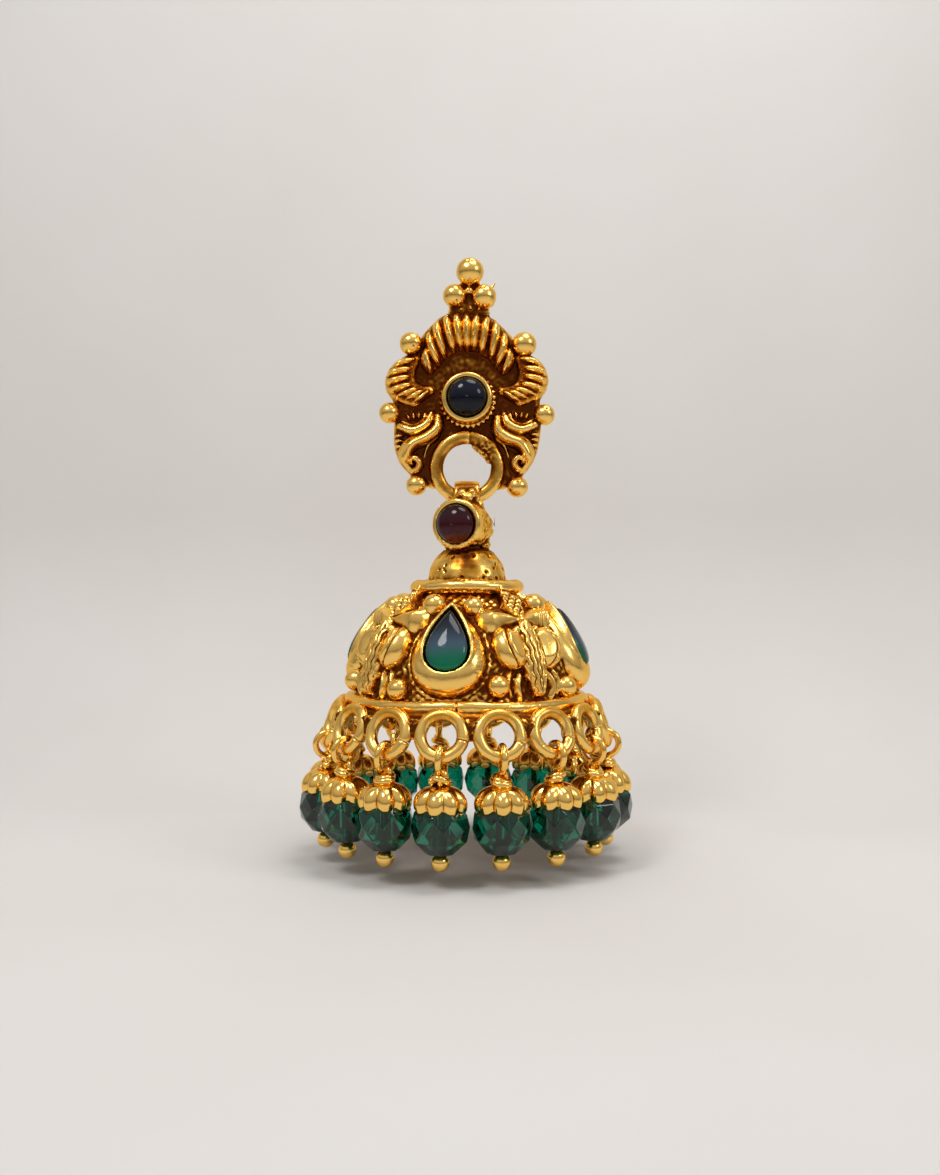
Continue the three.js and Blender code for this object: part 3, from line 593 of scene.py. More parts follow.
# From a turn, a height and a reach outwards to a place in the part's frame
def onDome(turn, height, out):
    turn, height, out = np.broadcast_arrays(*[np.asarray(v, float) for v in (turn, height, out)])
    lean = (domeRadius(height - 0.05) - domeRadius(height + 0.05)) / 0.1
    scale = np.hypot(1, lean)
    radius = domeRadius(height) + out / scale
    angle = np.radians(bell["turn"] + turn)
    return np.stack([radius * np.sin(angle), swingAxisY - radius * np.cos(angle),
                     bell["collarZ"] + height + out * lean / scale], -1)


def settingRelief(u, height):
    q = np.stack([u, height], 1)
    share = pearShare(q, (0, bell["settingHigh"]), bell["settingWide"], bell["settingTall"], 0.5)
    heavy = 1.02 + 0.3 * np.clip((4.4 - height) / 2.2, 0, 1)
    body = heavy * np.clip(1 - np.clip(share, 0, 1) ** 3.4, 0, 1) ** 0.55
    flank = np.arctan2(u, height - bell["settingHigh"] + 1)
    ticks = (share > 0.76) & (share < 0.93) & (flank > 0.7) & (flank < 2.2)
    body = body - np.where(ticks, 0.08 * np.clip(np.cos(44 * flank + 5 * share), 0, 1), 0)
    opening = pearShare(q, (0, bell["openingHigh"]), bell["openingWide"], bell["openingTall"], 1.0)
    fromOpening = (opening - 1) * np.hypot(u, height - bell["openingHigh"] + 0.6) / np.maximum(opening, 0.05)
    rim = bell["rim"] * np.sqrt(np.clip(1 - ((fromOpening - 0.16) / 0.22) ** 2, 0, 1)) ** 0.4
    outline = 0.16 * np.sqrt(np.clip(1 - ((share - 1.1) / 0.028) ** 2, 0, 1))
    return np.where(opening < 1, 0.42, np.maximum(np.maximum(body, rim), outline))


def leafHatch(x, height):
    return np.minimum(abs(np.sin(6 * (0.8 * x + height))), abs(np.sin(6 * (0.8 * x - height))))


def tailLines(x, height):
    return abs(np.sin(np.pi * (x + 0.05 * np.sin(7 * height) - 0.05 * height) / 0.33))


# How far out a point lies on a lobe, 1 on its outline, and where the comma-shaped crease crosses that height
def onLobe(x, height):
    up = height - 4.1
    return np.hypot((x - 1.62) / 1.32, up / 1.5), 1.95 - 0.28 * up**2 + 0.1 * up


# One half of a palmette from its axis outwards; ribbed says where its lobes' outer flanks are cut into ribs.
def palmetteRelief(fromAxis, height, ribbed):
    q = np.stack([fromAxis, height], 1)
    x = fromAxis
    inLozenge = 1 - abs(x) / 0.8 - abs(height - 7.0) / 1.35
    border = np.exp(-((inLozenge - 0.1) / 0.07) ** 2)
    lozenge = np.where(inLozenge > 0, 0.7 * rounded(inLozenge, 0.16) + 0.3 * np.clip(leafHatch(x, height), 0, 0.6)
                       + 0.12 * border, 0)
    distance, share = fromLine(q, smoothLine([(0.1, 5.9), (1.3, 6.1), (2.35, 6.05)], 10))
    half = 0.22 + 0.72 * np.clip(share, 0, 1) ** 0.75
    across = np.clip(distance / half, 0, 1)
    wedge = (0.7 + 0.5 * share) * (0.45 * np.sqrt(1 - across**2) + 0.55 * (1 - across))
    wedge = wedge + ribbed * 0.09 * np.cos(18 * x) * (x > 1.3) * (across < 0.95)
    rho, comma = onLobe(x, height)
    lobe = 1.25 * np.sqrt(np.clip(1 - rho**2, 0, 1))
    ribs = ribbed * np.clip((x - 1.6) / 0.3, 0, 1) * np.clip((rho - 0.35) / 0.1, 0, 1)
    lobe = lobe + 0.1 * ribs * np.cos(2 * np.pi * rho / 0.2) * (rho < 0.97)
    face = 0.55 + 0.48 * (x - 0.3) - 0.05 * (height - 4.1)
    crease = 0.16 * np.exp(-((x - comma) / 0.07) ** 2) * (rho < 0.93)
    lobe = np.where(rho < 1, np.where(x < comma, np.minimum(lobe, np.maximum(face, 0.2)), lobe) - crease, 0)
    bead = bump(q, (0.78, 5.22), (0.36, 0.36), 0.95)
    fall = np.clip((5.8 - height) / 5.1, 0, 1)
    half = (0.18 + 0.82 * np.sin(np.pi * (0.1 + 0.82 * fall))) * (1 + 0.05 * np.cos(9 * height))
    across = np.clip(abs(x) / half, 0, 1)
    tail = np.sqrt(1 - across**2) ** 0.7 + 0.11 * tailLines(x, height) * (across < 0.9)
    tail = 0.95 * tail * rounded(height - 0.62, 0.35) * rounded(5.95 - height, 0.3) * (across < 1)
    tips = ridge(q, [(1.2, 2.5), (1.6, 1.5), (1.4, 0.5)], 0.34, 0.62, crest=0.5, count=8)
    tips = np.maximum(tips, ridge(q, [(1.9, 2.6), (2.3, 1.7), (2.15, 0.8)], 0.28, 0.5, crest=0.5, count=8))
    return np.maximum.reduce([lozenge, wedge, lobe, bead, tail, tips])


def domeShell(quarterSteps=200, rows=150):
    turns = np.linspace(-45, 45, quarterSteps, endpoint=False)
    heights = np.linspace(-0.25, 8.45, rows)
    turn, height = [g.ravel() for g in np.meshgrid(turns, heights, indexing="ij")]
    reach = domeRadius(height)
    across = np.radians(45 - abs(turn)) * reach
    net = 0.05 * np.sin(9 * np.radians(turn) * reach + 3 * np.sin(height)) * np.sin(10 * height)
    setting = settingRelief(np.radians(turn) * reach, height)
    plain, cut = [np.maximum.reduce([setting, palmetteRelief(across, height, ribbed), 0.05 + net])
                  for ribbed in (0, 1)]
    inner = np.linspace(8.3 - bell["wall"], -0.25, 24)
    rings = []
    for quarter in range(4):
        # the palmettes' flanks beside the front teardrop are plain, all the others are ribbed
        ribbedSide = (turn > 0) if quarter == 3 else (turn < 0) if quarter == 1 else np.full(len(turn), quarter == 2)
        relief = np.where(ribbedSide, cut, plain)
        outside = onDome(turn + 90 * quarter, height, relief).reshape(quarterSteps, rows, 3)
        for k, t in enumerate(turns):
            inside = onDome(t + 90 * quarter, inner, -bell["wall"])
            top = onDome(t + 90 * quarter, [8.45, 8.2], [-3.0, -3.2])
            rings.append(np.vstack([outside[k], top, inside]))
    return skin(rings, loop=True)


ringRow = {"count": 16, "radius": 10.5, "z": -25.3, "size": 1.53, "tilt": 18, "seamAt": -18, "strayWire": 15}


def aboveDome(points):
    height = points[:, 2] - bell["collarZ"]
    radial = np.hypot(points[:, 0], points[:, 1] - swingAxisY)
    return (radial - domeRadius(height)) * np.cos(np.radians(22 + 4 * np.clip(height, 0, 8))), height


# How deep a point lies in the lines cut into the palmettes' tails and upper leaves, from 0 to 1
def engraved(points):
    above, height = aboveDome(points)
    lean = (domeRadius(height - 0.05) - domeRadius(height + 0.05)) / 0.1
    height = height - np.clip(above, 0, 2) * lean / np.hypot(1, lean)
    turn = np.degrees(np.arctan2(points[:, 0], swingAxisY - points[:, 1])) - bell["turn"]
    x = np.radians(45 - abs((turn + 45) % 90 - 45)) * domeRadius(height)
    tail = (x < 0.75) & (height > 0.9) & (height < 5.4) & (above > 0.5)
    leaf = (abs(x) / 0.7 + abs(height - 7.0) / 1.2 < 1) & (above > 0.3)
    rho, comma = onLobe(x, height)
    crease = np.exp(-((x - comma) / 0.09) ** 2) * ((rho < 0.93) & (above > 0.4))
    return (tail * np.clip(1 - tailLines(x, height) / 0.6, 0, 1)
            + leaf * np.clip(1 - leafHatch(x, height) / 0.5, 0, 1) + crease)


def bellDome():
    shapes = [domeShell()]
    for quarter in range(4):
        for turn, height, radius in bell["granules"]:
            centre = onDome(90 * quarter + turn, height, 0.42 * radius)
            shapes.append(ball(centre, radius, sides=28))

    def reshape(points, normals):
        above, height = aboveDome(points)
        ground = np.clip((0.35 - above) / 0.2, 0, 1)
        cuts = 0.09 * engraved(points)
        fine = rough(points, 1.1) * 0.02 + rough(points, 0.35, 5) * 0.012 + ground * rough(points, 0.3, 2) * 0.07
        return points + normals * (fine - cuts)[:, None]

    obj = fused("dome_gold", shapes, bell["voxel"], bell["triangles"], reshape)

    def low(points):
        above, height = aboveDome(points)
        ground = np.clip((0.55 - above) / 0.45, 0, 1)
        foot = 0.12 * np.clip((0.5 - height) / 0.4, 0, 1)
        return np.where(above < -0.3, 0.15, 0.22 * ground + foot + 0.6 * engraved(points))

    layPatinaAndShade(obj, low, fine=8.0, broad=2.6)
    return finishPiece(obj, "drop", ["bell"], castGold)


# The lower collar with the rough skirt of solder behind the rings
def bellSkirt():
    def uneven(angle):
        return 0.05 * math.sin(3 * angle + 1) + 0.03 * math.sin(7 * angle), 0.06 * math.sin(5 * angle + 2)

    collar = [(bell["collarRadius"] + 0.9 * bell["collarWire"] * math.cos(a),
               bell["collarZ"] + 0.04 + bell["collarWire"] * math.sin(a)) for a in np.radians(range(0, 360, 24))]
    top, bottom = bell["collarZ"] - 0.1, bell["collarZ"] - 0.78
    skirt = [(9.1, top), (9.5, top - 0.2), (10.28, bottom), (9.75, bottom - 0.05), (8.9, bottom + 0.3), (8.3, top)]
    shapes = [shifted(turned(outline, 144, uneven), (0, swingAxisY, 0)) for outline in (collar, skirt)]
    for k in range(ringRow["count"]):
        web = ball((0, -10.42, -24.9), 1, (0.98, 0.36, 0.8), 20)
        shapes.append(roundBell(web, 22.5 * (k + 0.5)))

    def reshape(points, normals):
        below = np.clip((bell["collarZ"] - 0.45 - points[:, 2]) / 0.3, 0, 1)
        fine = rough(points, 1.1) * 0.03 + rough(points, 0.35, 5) * 0.015
        crust = below * (rough(points, 0.4, 9) * 0.14 + rough(points, 0.2, 4) * 0.08)
        notch = 0.2 * np.exp(-((points[:, 0] + 0.75) / 0.07) ** 2) * (points[:, 1] < -5) * (1 - below)
        return points + normals * (fine + crust - notch)[:, None]

    obj = fused("collar_gold", shapes, 0.075, 110000, reshape)

    def low(points):
        below = np.clip((bell["collarZ"] - 0.4 - points[:, 2]) / 0.2, 0, 1)
        radial = np.hypot(points[:, 0], points[:, 1] - swingAxisY)
        return np.where(radial < 8.9, 0.3, 0.95 * below)

    layPatinaAndShade(obj, low, fine=6.0)
    return finishPiece(obj, "drop", ["bell"], castGold)


neck = {"pivotZ": -7.84, "bore": 0.83, "wall": 0.55, "width": 1.96, "cupZ": -9.95, "cupTurn": -20, "cupReach": 2.6,
        "knobRadius": 3.13, "knobBase": -14.4, "knobTop": -11.5, "collarRadius": 3.92, "collarZ": -14.8,
        "collarWire": 0.6, "voxel": 0.062, "triangles": 120000, "pits": 46,
        # lumps of solder: x, y from the swing's axis, z, radius
        "lumps": [(-1.3, 0.4, -11.5, 0.5), (-0.6, -0.7, -11.75, 0.55), (0.4, -0.8, -11.7, 0.6),
                  (1.3, -0.1, -11.45, 0.55), (0.2, 0.8, -11.6, 0.6), (1.6, 0.5, -10.4, 0.5), (1.7, 0.3, -9.2, 0.5),
                  (-1.7, 0.4, -10.2, 0.45), (-0.35, -1.4, -7.55, 0.4), (0.4, -1.35, -7.5, 0.42),
                  (0.0, -1.5, -7.85, 0.5), (0.9, -0.9, -8.4, 0.45)]}


def neckBody():
    half, bore = neck["width"] / 2, neck["bore"]
    outer = bore + neck["wall"]
    strap = turned([(bore - 0.1, -half), (outer - 0.08, -half), (outer, -half + 0.1), (outer, half - 0.1),
                    (outer - 0.08, half), (bore - 0.1, half)], 48)
    strap = shifted(spun(strap, 90, axis=1), (0, swingAxisY, neck["pivotZ"]))
    cupShape = shifted(spun(turnedToFront(cupOutline(neck["cupReach"], 0.0), 72), neck["cupTurn"]),
                       (0, swingAxisY, neck["cupZ"]))
    body = ball((0, swingAxisY, -9.95), 1, (2.02, 1.25, 2.05), 36)
    knob = [(0.01, neck["knobBase"] - 0.3), (neck["knobRadius"], neck["knobBase"] - 0.3)]
    for a in np.radians(range(0, 91, 9)):
        knob.append((max(0.01, neck["knobRadius"] * math.cos(a) ** 0.85),
                     neck["knobBase"] + (neck["knobTop"] - neck["knobBase"]) * math.sin(a)))
    collar = [(neck["collarRadius"] + neck["collarWire"] * math.cos(a),
               neck["collarZ"] + 0.9 * neck["collarWire"] * math.sin(a)) for a in np.radians(range(0, 360, 24))]
    plug = [(0.01, -15.5), (3.75, -15.5), (3.9, -14.9), (3.2, -14.5), (0.01, -14.5)]

    def uneven(angle):
        return 0.04 * math.sin(2 * angle + 1), 0.05 * math.sin(3 * angle + 2)

    shapes = [strap, cupShape, body]
    shapes += [shifted(turned(outline, 96, uneven), (0, swingAxisY, 0)) for outline in (knob, collar, plug)]
    shapes += [ball((x, swingAxisY + y, z), r) for x, y, z, r in neck["lumps"]]
    rng = np.random.default_rng(11)
    pitTurn, pitZ = rng.uniform(0, 2 * np.pi, neck["pits"]), rng.uniform(-14.2, -11.7, neck["pits"])

    def reshape(points, normals):
        along, y, z = points[:, 0], points[:, 1] - swingAxisY, points[:, 2]
        crusty = np.exp(-((z + 11.6) / 0.6) ** 2) + np.clip((y - 0.1) / 0.5, 0, 1) * (z > -12)
        crusty = crusty + np.exp(-((z + 7.6) / 0.35) ** 2) * (y < -1.2) + 0.5 * np.exp(-((z + 14.2) / 0.2) ** 2)
        fine = rough(points, 0.8) * 0.02 + crusty * (rough(points, 0.35, 2) * 0.1 + rough(points, 0.18, 6) * 0.05)
        fine = fine + rough(points, 0.9, 8) * 0.07 * ((z < -11.9) & (z > -14.3))
        side = (along > 1.2) & (z > -11.6) & (z < -8.6)
        fine = fine + side * (rough(points, 0.5, 12) * 0.09 + rough(points, 0.22, 13) * 0.04)
        radial = np.hypot(along, y)
        for turn, height in zip(pitTurn, pitZ):
            away = ((along - radial * math.sin(turn)) ** 2 + (y + radial * math.cos(turn)) ** 2 + (z - height) ** 2)
            fine = fine - 0.17 * np.exp(-away / 0.016)
        points = points + normals * fine[:, None]
        # nothing stands in the bail's hole, which widens to both sides as the carrying ring curves
        along, y, z = points[:, 0], points[:, 1] - swingAxisY, points[:, 2] - neck["pivotZ"]
        hole = bore + 2.42 - np.sqrt(np.clip(2.42**2 - along**2, 0.5, None))
        reach = np.maximum(np.hypot(y, z), 1e-6)
        push = np.where((reach < hole) & (abs(along) < 2.2), hole / reach, 1.0)
        return np.stack([along, swingAxisY + y * push, neck["pivotZ"] + z * push], 1)

    obj = fused("neck_gold", shapes, neck["voxel"], neck["triangles"], reshape)

    def low(points):
        z = points[:, 2]
        waist = np.exp(-((z + 11.8) / 0.45) ** 2) * (points[:, 1] > -2.9)
        # Painted shadow: the knob's front darkens under the cup, where the cup's shadow and a dark reflection fall,
        # along with some patina.
        patinaAndShadeUnderCup = np.exp(-((z + 12.7) / 1.0) ** 2 - ((points[:, 0] + 0.1) / 0.75) ** 2) * (points[:, 1] < -1.5)
        mound = np.exp(-((z + 7.5) / 0.4) ** 2) * (points[:, 1] < -2)
        flank = 0.14 * ((points[:, 0] > 1.3) & (z > -11.6) & (z < -8.6))
        strap = 0.25 * (z > -7.2) + 0.2 * ((z < -11.8) & (z > -14.4))
        return 0.4 * waist + 0.5 * patinaAndShadeUnderCup + 0.25 * mound + strap + flank + 0.3 * np.clip((-14.85 - z) / 0.3, 0, 1)

    layPatinaAndShade(obj, low, fine=6.0, base=0.38)
    return finishPiece(obj, "drop", ["bell"], castGold)


def ringsBelow():
    rng = np.random.default_rng(5)
    shapes = []
    for k in range(ringRow["count"]):
        seam = ringRow["seamAt"] + rng.uniform(-12, 12)
        ring = openRing(ringRow["size"], flatSection(0.46, 0.45, 16, 1.0), 1.2, seam, rng.uniform(-0.05, 0.05))
        parts = [spun(ring, rng.uniform(-3, 3), axis=2)]
        if k == ringRow["strayWire"]:
            stub = smoothLine([(0.7, -0.1, -0.75), (0.62, -0.15, -0.35), (0.5, -0.1, -0.1)], 8)
            parts.append(swept(stub, (0, -1, 0), roundSection(0.2)))
        for part in parts:
            part = shifted(spun(part, -ringRow["tilt"], axis=0), (0, -ringRow["radius"], ringRow["z"]))
            shapes.append(roundBell(part, 22.5 * k))
    obj = facedOut(meshObject("ring_row_gold", together(shapes)))
    mesh = obj.data
    points = pointsOf(mesh)
    setPoints(mesh, points + normalsOf(mesh) * (rough(points, 0.7) * 0.03)[:, None])

    def low(points):
        return 0.35 * np.clip((points[:, 2] + 24.9) / 0.8, 0, 1)

    layPatinaAndShade(obj, low, fine=1.5, broad=0.2, base=0.3)
    return finishPiece(obj, "drop", ["bell"], soldered)


# Bead drops, each made about its loop's middle

drop = {"loopRadius": 0.93, "wire": 0.25, "loopOut": 10.974, "loopZ": -26.9, "coilRadius": 0.66, "capTop": -1.9,
        "capHeight": 1.68, "capRadius": 1.95, "flutes": 8, "beadZ": -4.73, "beadRadius": 2.12, "beadEnd": 1.86,
        "bore": 0.35, "ballRadius": 0.66, "ballZ": -7.25}


def wirePin(rng):
    up = np.linspace(drop["ballZ"], -1.35, 14)
    shaft = np.stack([0 * up, 0 * up, up], 1)
    turn = np.radians(np.linspace(-84, 262, 40))
    lean = np.linspace(-0.06, 0.2, 40)
    loop = np.stack([lean, -drop["loopRadius"] * np.cos(turn), drop["loopRadius"] * np.sin(turn)], 1)
    turns = rng.uniform(1.6, 2.1)
    coilTurn = np.radians(np.linspace(20, 360 * turns, 46))
    fall = np.linspace(-1.28, -1.68, 46) + rng.uniform(0.1, 0.22) * np.sin(coilTurn + rng.uniform(0, 6))
    reach = np.linspace(0.42, drop["coilRadius"], 46)
    coil = np.stack([reach * np.cos(coilTurn), reach * np.sin(coilTurn), np.clip(fall, -1.72, -1.2)], 1)
    wire = np.vstack([shaft, loop, coil])
    keep = np.concatenate([[True], np.linalg.norm(np.diff(wire, axis=0), axis=1) > 1e-3])
    wire = wire[keep]
    wire[1:-1] = (wire[:-2] + 2 * wire[1:-1] + wire[2:]) / 4
    return together([tube(wire, drop["wire"]), ball((0, 0, drop["ballZ"]), drop["ballRadius"], (1, 1, 0.96), 24)])


# A round tube whose frames turn as little as they can along the wire.
def tube(path, radius, sides=10):
    ahead = unit(np.gradient(path, axis=0))
    side = unit(np.cross(ahead[0], (0.3, 1, 0.2)))
    rings = []
    for place, forward in zip(path, ahead):
        side = unit(side - side.dot(forward) * forward)
        other = np.cross(forward, side)
        angles = 2 * np.pi * np.arange(sides) / sides
        rings.append([place + radius * (math.cos(a) * side + math.sin(a) * other) for a in angles])
    return skin(rings)


def flutedCap(phase):
    sides, rows = 96, 16
    rings = []
    for k in range(sides):
        angle = 2 * np.pi * k / sides
        hump = abs(math.cos(drop["flutes"] / 2 * angle + phase)) ** 0.8
        outline = [(0.42, drop["capTop"] + 0.02), (0.55, drop["capTop"] + 0.1), (0.68, drop["capTop"] + 0.03)]
        bottom = drop["capHeight"] - 0.2 * (1 - hump)
        for t in np.linspace(0.1, 1, rows):
            lean = math.radians(112 * t)
            swell = 1 - 0.19 * (1 - hump) * min(1, 2.4 * t)
            radius = (0.55 + (drop["capRadius"] - 0.55) * math.sin(lean) ** 0.8) * swell
            outline.append((radius, drop["capTop"] - bottom * ((1 - math.cos(lean)) / 1.375) ** 0.9))
        edge = outline[-1]
        outline += [(edge[0] - 0.06, edge[1] - 0.04), (1.5, edge[1] + 0.03)]
        for a in np.linspace(0.85, 0.2, 5) * np.pi / 2:
            outline.append((0.4 + 1.1 * math.sin(a), drop["capTop"] - 0.14 - 1.5 * (1 - math.cos(a))))
        outline.append((0.36, drop["capTop"] - 0.12))
        rings.append([(r * math.sin(angle), -r * math.cos(angle), z) for r, z in outline])
    return skin(rings, loop=True)


def facetedBead(phase):
    facets = 8

    def belt(radius, height, half):
        angles = 2 * np.pi * (np.arange(facets) + half) / facets + phase
        return np.stack([radius * np.cos(angles), radius * np.sin(angles), 0 * angles + drop["beadZ"] + height], 1)

    r, e = drop["beadRadius"], drop["beadEnd"]
    belts = [(drop["bore"], e, 0), (0.5 * r, 0.87 * r, 0), (0.925 * r, 0.44 * r, 0.5), (r, 0, 0),
             (0.925 * r, -0.44 * r, 0.5), (0.5 * r, -0.87 * r, 0), (drop["bore"], -e, 0)]
    points = np.vstack([belt(*row) for row in belts])
    faces = []
    for i in range(facets):
        j = (i + 1) % facets
        bore, top, upper, middle, lower, foot, end = [row * facets for row in range(len(belts))]
        faces += [[bore + i, bore + j, top + j, top + i], [foot + i, foot + j, end + j, end + i]]
        faces += [[top + i, top + j, upper + i], [upper + i, top + j, upper + j]]
        faces += [[foot + i, foot + j, lower + i], [lower + i, foot + j, lower + j]]
        faces += [[upper + i, upper + j, middle + j], [lower + i, lower + j, middle + j]]
        faces += [[upper + i, middle + i, lower + i, middle + j], [bore + i, end + i, end + j, bore + j]]
    return points, faces


# Glass and stones

def glassMaterial():
    material, tree, shader = freshMaterial("emeraldGlass")
    where = addNode(tree, "TexCoord").outputs["Object"]
    swirl = noiseAt(tree, where, 420.0, 2.0)
    colour = colourRamp(tree, swirl, [(0.3, (0.0003, 0.13, 0.072)), (0.7, (0.0006, 0.21, 0.125))])
    tree.links.new(colour, shader.inputs["Base Color"])
    shader.inputs["Transmission Weight"].default_value = 1.0
    shader.inputs["IOR"].default_value = 1.54
    shader.inputs["Specular IOR Level"].default_value = 0.32
    tree.links.new(ranged(tree, noiseAt(tree, where, 900.0), 0.4, 0.8, 0.0, 0.02), shader.inputs["Roughness"])
    return material


# A polished stone whose colour runs from its foot to its top as painted light, with faint clouds in it.
def stoneMaterial(name, footZ, topZ, stops, cloud):
    material, tree, shader = freshMaterial(name)
    where = addNode(tree, "TexCoord").outputs["Object"]
    z = addNode(tree, "SeparateXYZ", at0=where).outputs["Z"]
    # The stops paint light and shade along the stone's height.
    share = ranged(tree, z, footZ * mm, topZ * mm, 0.0, 1.0)
    drift = math2(tree, "MULTIPLY", math2(tree, "SUBTRACT", noiseAt(tree, where, 700.0), 0.5), cloud)
    depth = colourRamp(tree, math2(tree, "ADD", share, drift), stops)
    # Painted shade: the base colour darkens towards the stone's edges as they turn away from the camera.
    facing = addNode(tree, "LayerWeight", Blend=0.45).outputs["Facing"]
    rim = colourRamp(tree, facing, [(0.15, (1, 1, 1)), (0.8, (0.25, 0.25, 0.25))])
    mixed = addNode(tree, "MixRGB", {"blend_type": "MULTIPLY"}, at0=1.0, at1=depth, at2=rim)
    tree.links.new(mixed.outputs[0], shader.inputs["Base Color"])
    tree.links.new(ranged(tree, noiseAt(tree, where, 2500.0), 0.3, 0.8, 0.04, 0.12), shader.inputs["Roughness"])
    shader.inputs["Specular IOR Level"].default_value = 0.26
    return material


emeraldGlass = glassMaterial()
# Painted light: the navy stone is a little lighter and bluer towards its top.
navyStone = stoneMaterial("navyStone", -1.5, 1.5, [(0.0, (0.002, 0.003, 0.006)), (1.0, (0.006, 0.008, 0.02))], 0.5)
# Painted glow: the garnet glows red at its foot, where light leaves it, and darkens above.
garnet = stoneMaterial("garnetStone", -11.5, -8.4, [
    (0.0, (0.20, 0.03, 0.006)), (0.25, (0.05, 0.004, 0.006)), (1.0, (0.018, 0.002, 0.006))], 0.15)
# Painted light: a green glow at the teardrop's foot, greying upwards to painted shade at its top.
tealStone = stoneMaterial("tealStone", -20.8, -16.5, [
    (0.0, (0.0, 0.17, 0.06)), (0.22, (0.004, 0.12, 0.07)), (0.46, (0.05, 0.085, 0.12)), (0.72, (0.022, 0.028, 0.04)),
    (1.0, (0.005, 0.005, 0.008))], 0.2)


def roundCabochon(name, centre, turn, body, node, material):
    radius, girdle, crown = 1.5, 0.6, 0.95
    outline = [(0.01, 0.0), (radius - 0.04, 0.0), (radius, 0.05), (radius, girdle - 0.06)]
    outline += [(max(0.01, radius * math.cos(a)), girdle + crown * math.sin(a)) for a in np.radians(range(4, 91, 6))]
    stone = shifted(spun(turnedToFront(outline, 64), turn), centre)
    obj = facedOut(meshObject(name, stone))
    return finishPiece(obj, body, [node], material)


def pearCabochon(index):
    turn, reach = pearTable(1.0)
    angles = np.linspace(-np.pi, np.pi, 72, endpoint=False)
    edge = np.interp(angles, turn, reach, period=2 * np.pi)
    x, z = edge * np.sin(angles), edge * np.cos(angles) - 0.15
    middle = bell["openingHigh"]
    lean = math.atan((domeRadius(middle - 1.5) - domeRadius(middle + 1.5)) / 3)
    wide, tall = bell["openingWide"] + 0.1, (bell["openingTall"] + 0.1) / math.cos(lean)
    rings = [np.stack([wide * x, np.full(72, -0.3), tall * z], 1)]
    for a in np.radians([0, 8, 17, 27, 38, 50, 62, 74, 86]):
        shrink = math.cos(a)
        rings.append(np.stack([wide * x * shrink, np.full(72, -0.9 - 0.55 * math.sin(a)),
                               tall * (z * shrink + 0.06 * (shrink - 1))], 1))
    points, faces = skin(rings)
    stone = spun((points, faces), -math.degrees(lean), axis=0)
    stone = shifted(stone, (0, -float(domeRadius(middle)), bell["collarZ"] + middle))
    obj = facedOut(meshObject(f"teardrop_stone_{index + 1}", roundBell(stone, 90 * index)))
    return finishPiece(obj, "drop", [f"drop_stone_{index + 1}"], tealStone)


def earPost():
    outline = [(0.01, 0.06), (1.12, 0.06), (1.2, 0.14), (1.2, 0.36), (1.08, 0.48), (0.62, 0.55), (0.45, 0.75)]
    outline += [(0.45, 10.1), (0.36, 10.25), (0.36, 10.45), (0.45, 10.6), (0.42, 10.85), (0.25, 11.06), (0.01, 11.12)]
    post = turnedToFront([(r, -y) for r, y in outline], 32)
    obj = facedOut(meshObject("ear_post_gold", post))
    layPatinaAndShade(obj, fine=0.0, broad=0.0, base=0.25)
    return finishPiece(obj, "stud", ["ear_post"], wireGold)


def beadDrop(k):
    rng = np.random.default_rng(100 + k)
    sway = rng.uniform(-1.5, 1.5, 2)
    phase = rng.uniform(0, 1)

    def hung(shape):
        shape = spun(spun(shape, sway[0], axis=0), sway[1], axis=1)
        return roundBell(shifted(shape, (0, -drop["loopOut"], drop["loopZ"])), 22.5 * k)

    number = f"{k + 1:02d}"
    pin = facedOut(meshObject(f"wire_pin_{number}", hung(wirePin(rng))))
    layPatinaAndShade(pin, fine=1.0, broad=0.3, base=0.28)
    finishPiece(pin, "drop", [f"head_pin_{number}"], wireGold)
    cap = facedOut(meshObject(f"fluted_cap_{number}", hung(flutedCap(phase))))
    layPatinaAndShade(cap, fine=6.0, broad=1.2, base=0.3)
    finishPiece(cap, "drop", [f"bead_cap_{number}"], wireGold)
    bead = facedOut(meshObject(f"faceted_bead_{number}", hung(facetedBead(phase))), bevel=0.035)
    finishPiece(bead, "drop", [f"glass_bead_{number}"], emeraldGlass, flat=True)


studPlaque()
print("plaque made")
bellDome()
bellSkirt()
print("bell made")
neckBody()
ringsBelow()
print("neck and ring row made")
for k in range(ringRow["count"]):
    beadDrop(k)
print("bead drops made")
roundCabochon("navy_cabochon", (0, -1.8, 0), 0, "stud", "stud_stone", navyStone)
neckTurn = math.radians(neck["cupTurn"])
neckSeat = neck["cupReach"] - 0.6
roundCabochon("garnet_cabochon", (neckSeat * math.sin(neckTurn), swingAxisY - neckSeat * math.cos(neckTurn),
                                  neck["cupZ"]), neck["cupTurn"], "drop", "neck_stone", garnet)
for index in range(4):
    pearCabochon(index)
earPost()
print("stones and post made")


# Stage: a pale floor that curves up behind, lit by soft boxes

stage = {"floorZ": -36.0, "wallY": 46.0, "curve": 30.0, "half": 420.0, "height": 420.0, "front": -420.0}


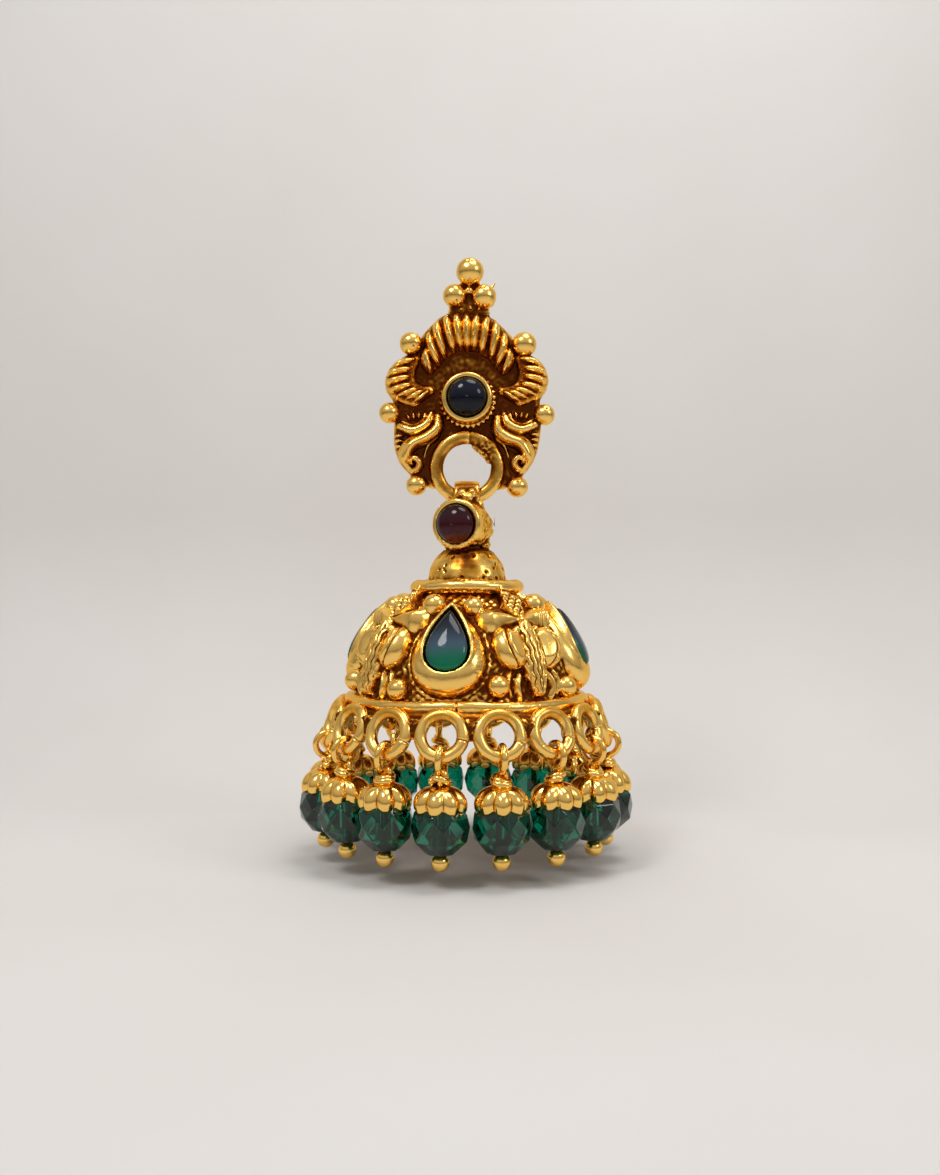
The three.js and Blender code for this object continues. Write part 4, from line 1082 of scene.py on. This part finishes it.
def paleStage():
    curve = [(stage["wallY"] - stage["curve"] + stage["curve"] * math.sin(a),
              stage["floorZ"] + stage["curve"] - stage["curve"] * math.cos(a)) for a in np.radians(range(0, 91, 5))]
    outline = [(stage["front"], stage["floorZ"])] + curve + [(stage["wallY"], stage["height"])]
    rows = np.array([[(x, y, z) for x in (-stage["half"], stage["half"])] for y, z in outline]) * mm
    faces = [[2 * k, 2 * k + 1, 2 * k + 3, 2 * k + 2] for k in range(len(outline) - 1)]
    backdrop = meshObject("pale_stage", (rows.reshape(-1, 3), faces))
    for face in backdrop.data.polygons:
        face.use_smooth = True
    material, tree, shader = freshMaterial("paleCloth")
    where = addNode(tree, "TexCoord").outputs["Object"]
    tone = colourRamp(tree, noiseAt(tree, where, 25.0), [(0.3, (0.71, 0.68, 0.65)), (0.7, (0.75, 0.725, 0.70))])
    tree.links.new(tone, shader.inputs["Base Color"])
    shader.inputs["Roughness"].default_value = 0.8
    # open from behind, so that the part can be seen from every side
    behind = addNode(tree, "NewGeometry").outputs["Backfacing"]
    clear = addNode(tree, "BsdfTransparent").outputs[0]
    mixed = addNode(tree, "MixShader", at0=behind, at1=shader.outputs[0], at2=clear)
    tree.links.new(mixed.outputs[0], tree.nodes["Material Output"].inputs["Surface"])
    backdrop.data.materials.append(material)


lamps = [
    {"name": "keyBox", "at": (-60, -80, 110), "size": 48, "power": 0.075},
    {"name": "topBox", "at": (35, -20, 140), "size": 80, "power": 0.085},
    {"name": "sideBox", "at": (110, -70, 60), "size": 44, "power": 0.028},
    {"name": "rearBox", "at": (-90, 120, 60), "size": 90, "power": 0.05},
]


def studioLight():
    for lamp in lamps:
        data = bpy.data.lights.new(lamp["name"], "AREA")
        data.shape = "DISK"
        data.size = lamp["size"] * mm
        data.energy = lamp["power"]
        obj = bpy.data.objects.new(lamp["name"], data)
        bpy.context.scene.collection.objects.link(obj)
        obj.location = np.array(lamp["at"]) * mm
        aim = np.array((0, 0, -14.0)) * mm - np.array(lamp["at"]) * mm
        obj.rotation_mode = "QUATERNION"
        obj.rotation_quaternion = Vector(aim).to_track_quat("-Z", "Y")
    world = bpy.data.worlds.new("softRoom")
    bpy.context.scene.world = world
    world.use_nodes = True
    tree = world.node_tree
    z = addNode(tree, "SeparateXYZ",
                at0=addNode(tree, "TexCoord").outputs["Generated"]).outputs["Z"]
    sky = colourRamp(tree, ranged(tree, z, -1.0, 1.0, 0.0, 1.0), [
        (0.0, (0.35, 0.33, 0.31)), (0.34, (0.07, 0.06, 0.05)), (0.48, (0.20, 0.185, 0.165)), (0.6, (0.72, 0.70, 0.68)),
        (0.8, (1.0, 1.0, 1.0)), (1.0, (0.8, 0.8, 0.8))])
    tree.links.new(sky, tree.nodes["Background"].inputs["Color"])
    tree.nodes["Background"].inputs["Strength"].default_value = 0.58


# places in mm; the camera looks level along +Y
photoView = {"lens": 36.77, "sensor": 36.0, "at": (0.24, -95.75, -14.85)}


def photoCamera():
    data = bpy.data.cameras.new("photoCamera")
    camera = bpy.data.objects.new("photoCamera", data)
    bpy.context.scene.collection.objects.link(camera)
    data.lens, data.sensor_width = photoView["lens"], photoView["sensor"]
    data.clip_start, data.clip_end = 0.001, 10.0
    camera.location = np.array(photoView["at"]) * mm
    camera.rotation_euler = (math.pi / 2, 0, 0)
    bpy.context.scene.camera = camera


paleStage()
studioLight()
photoCamera()
bpy.context.scene.view_settings.view_transform = "Standard"
print("stage, light and camera made")
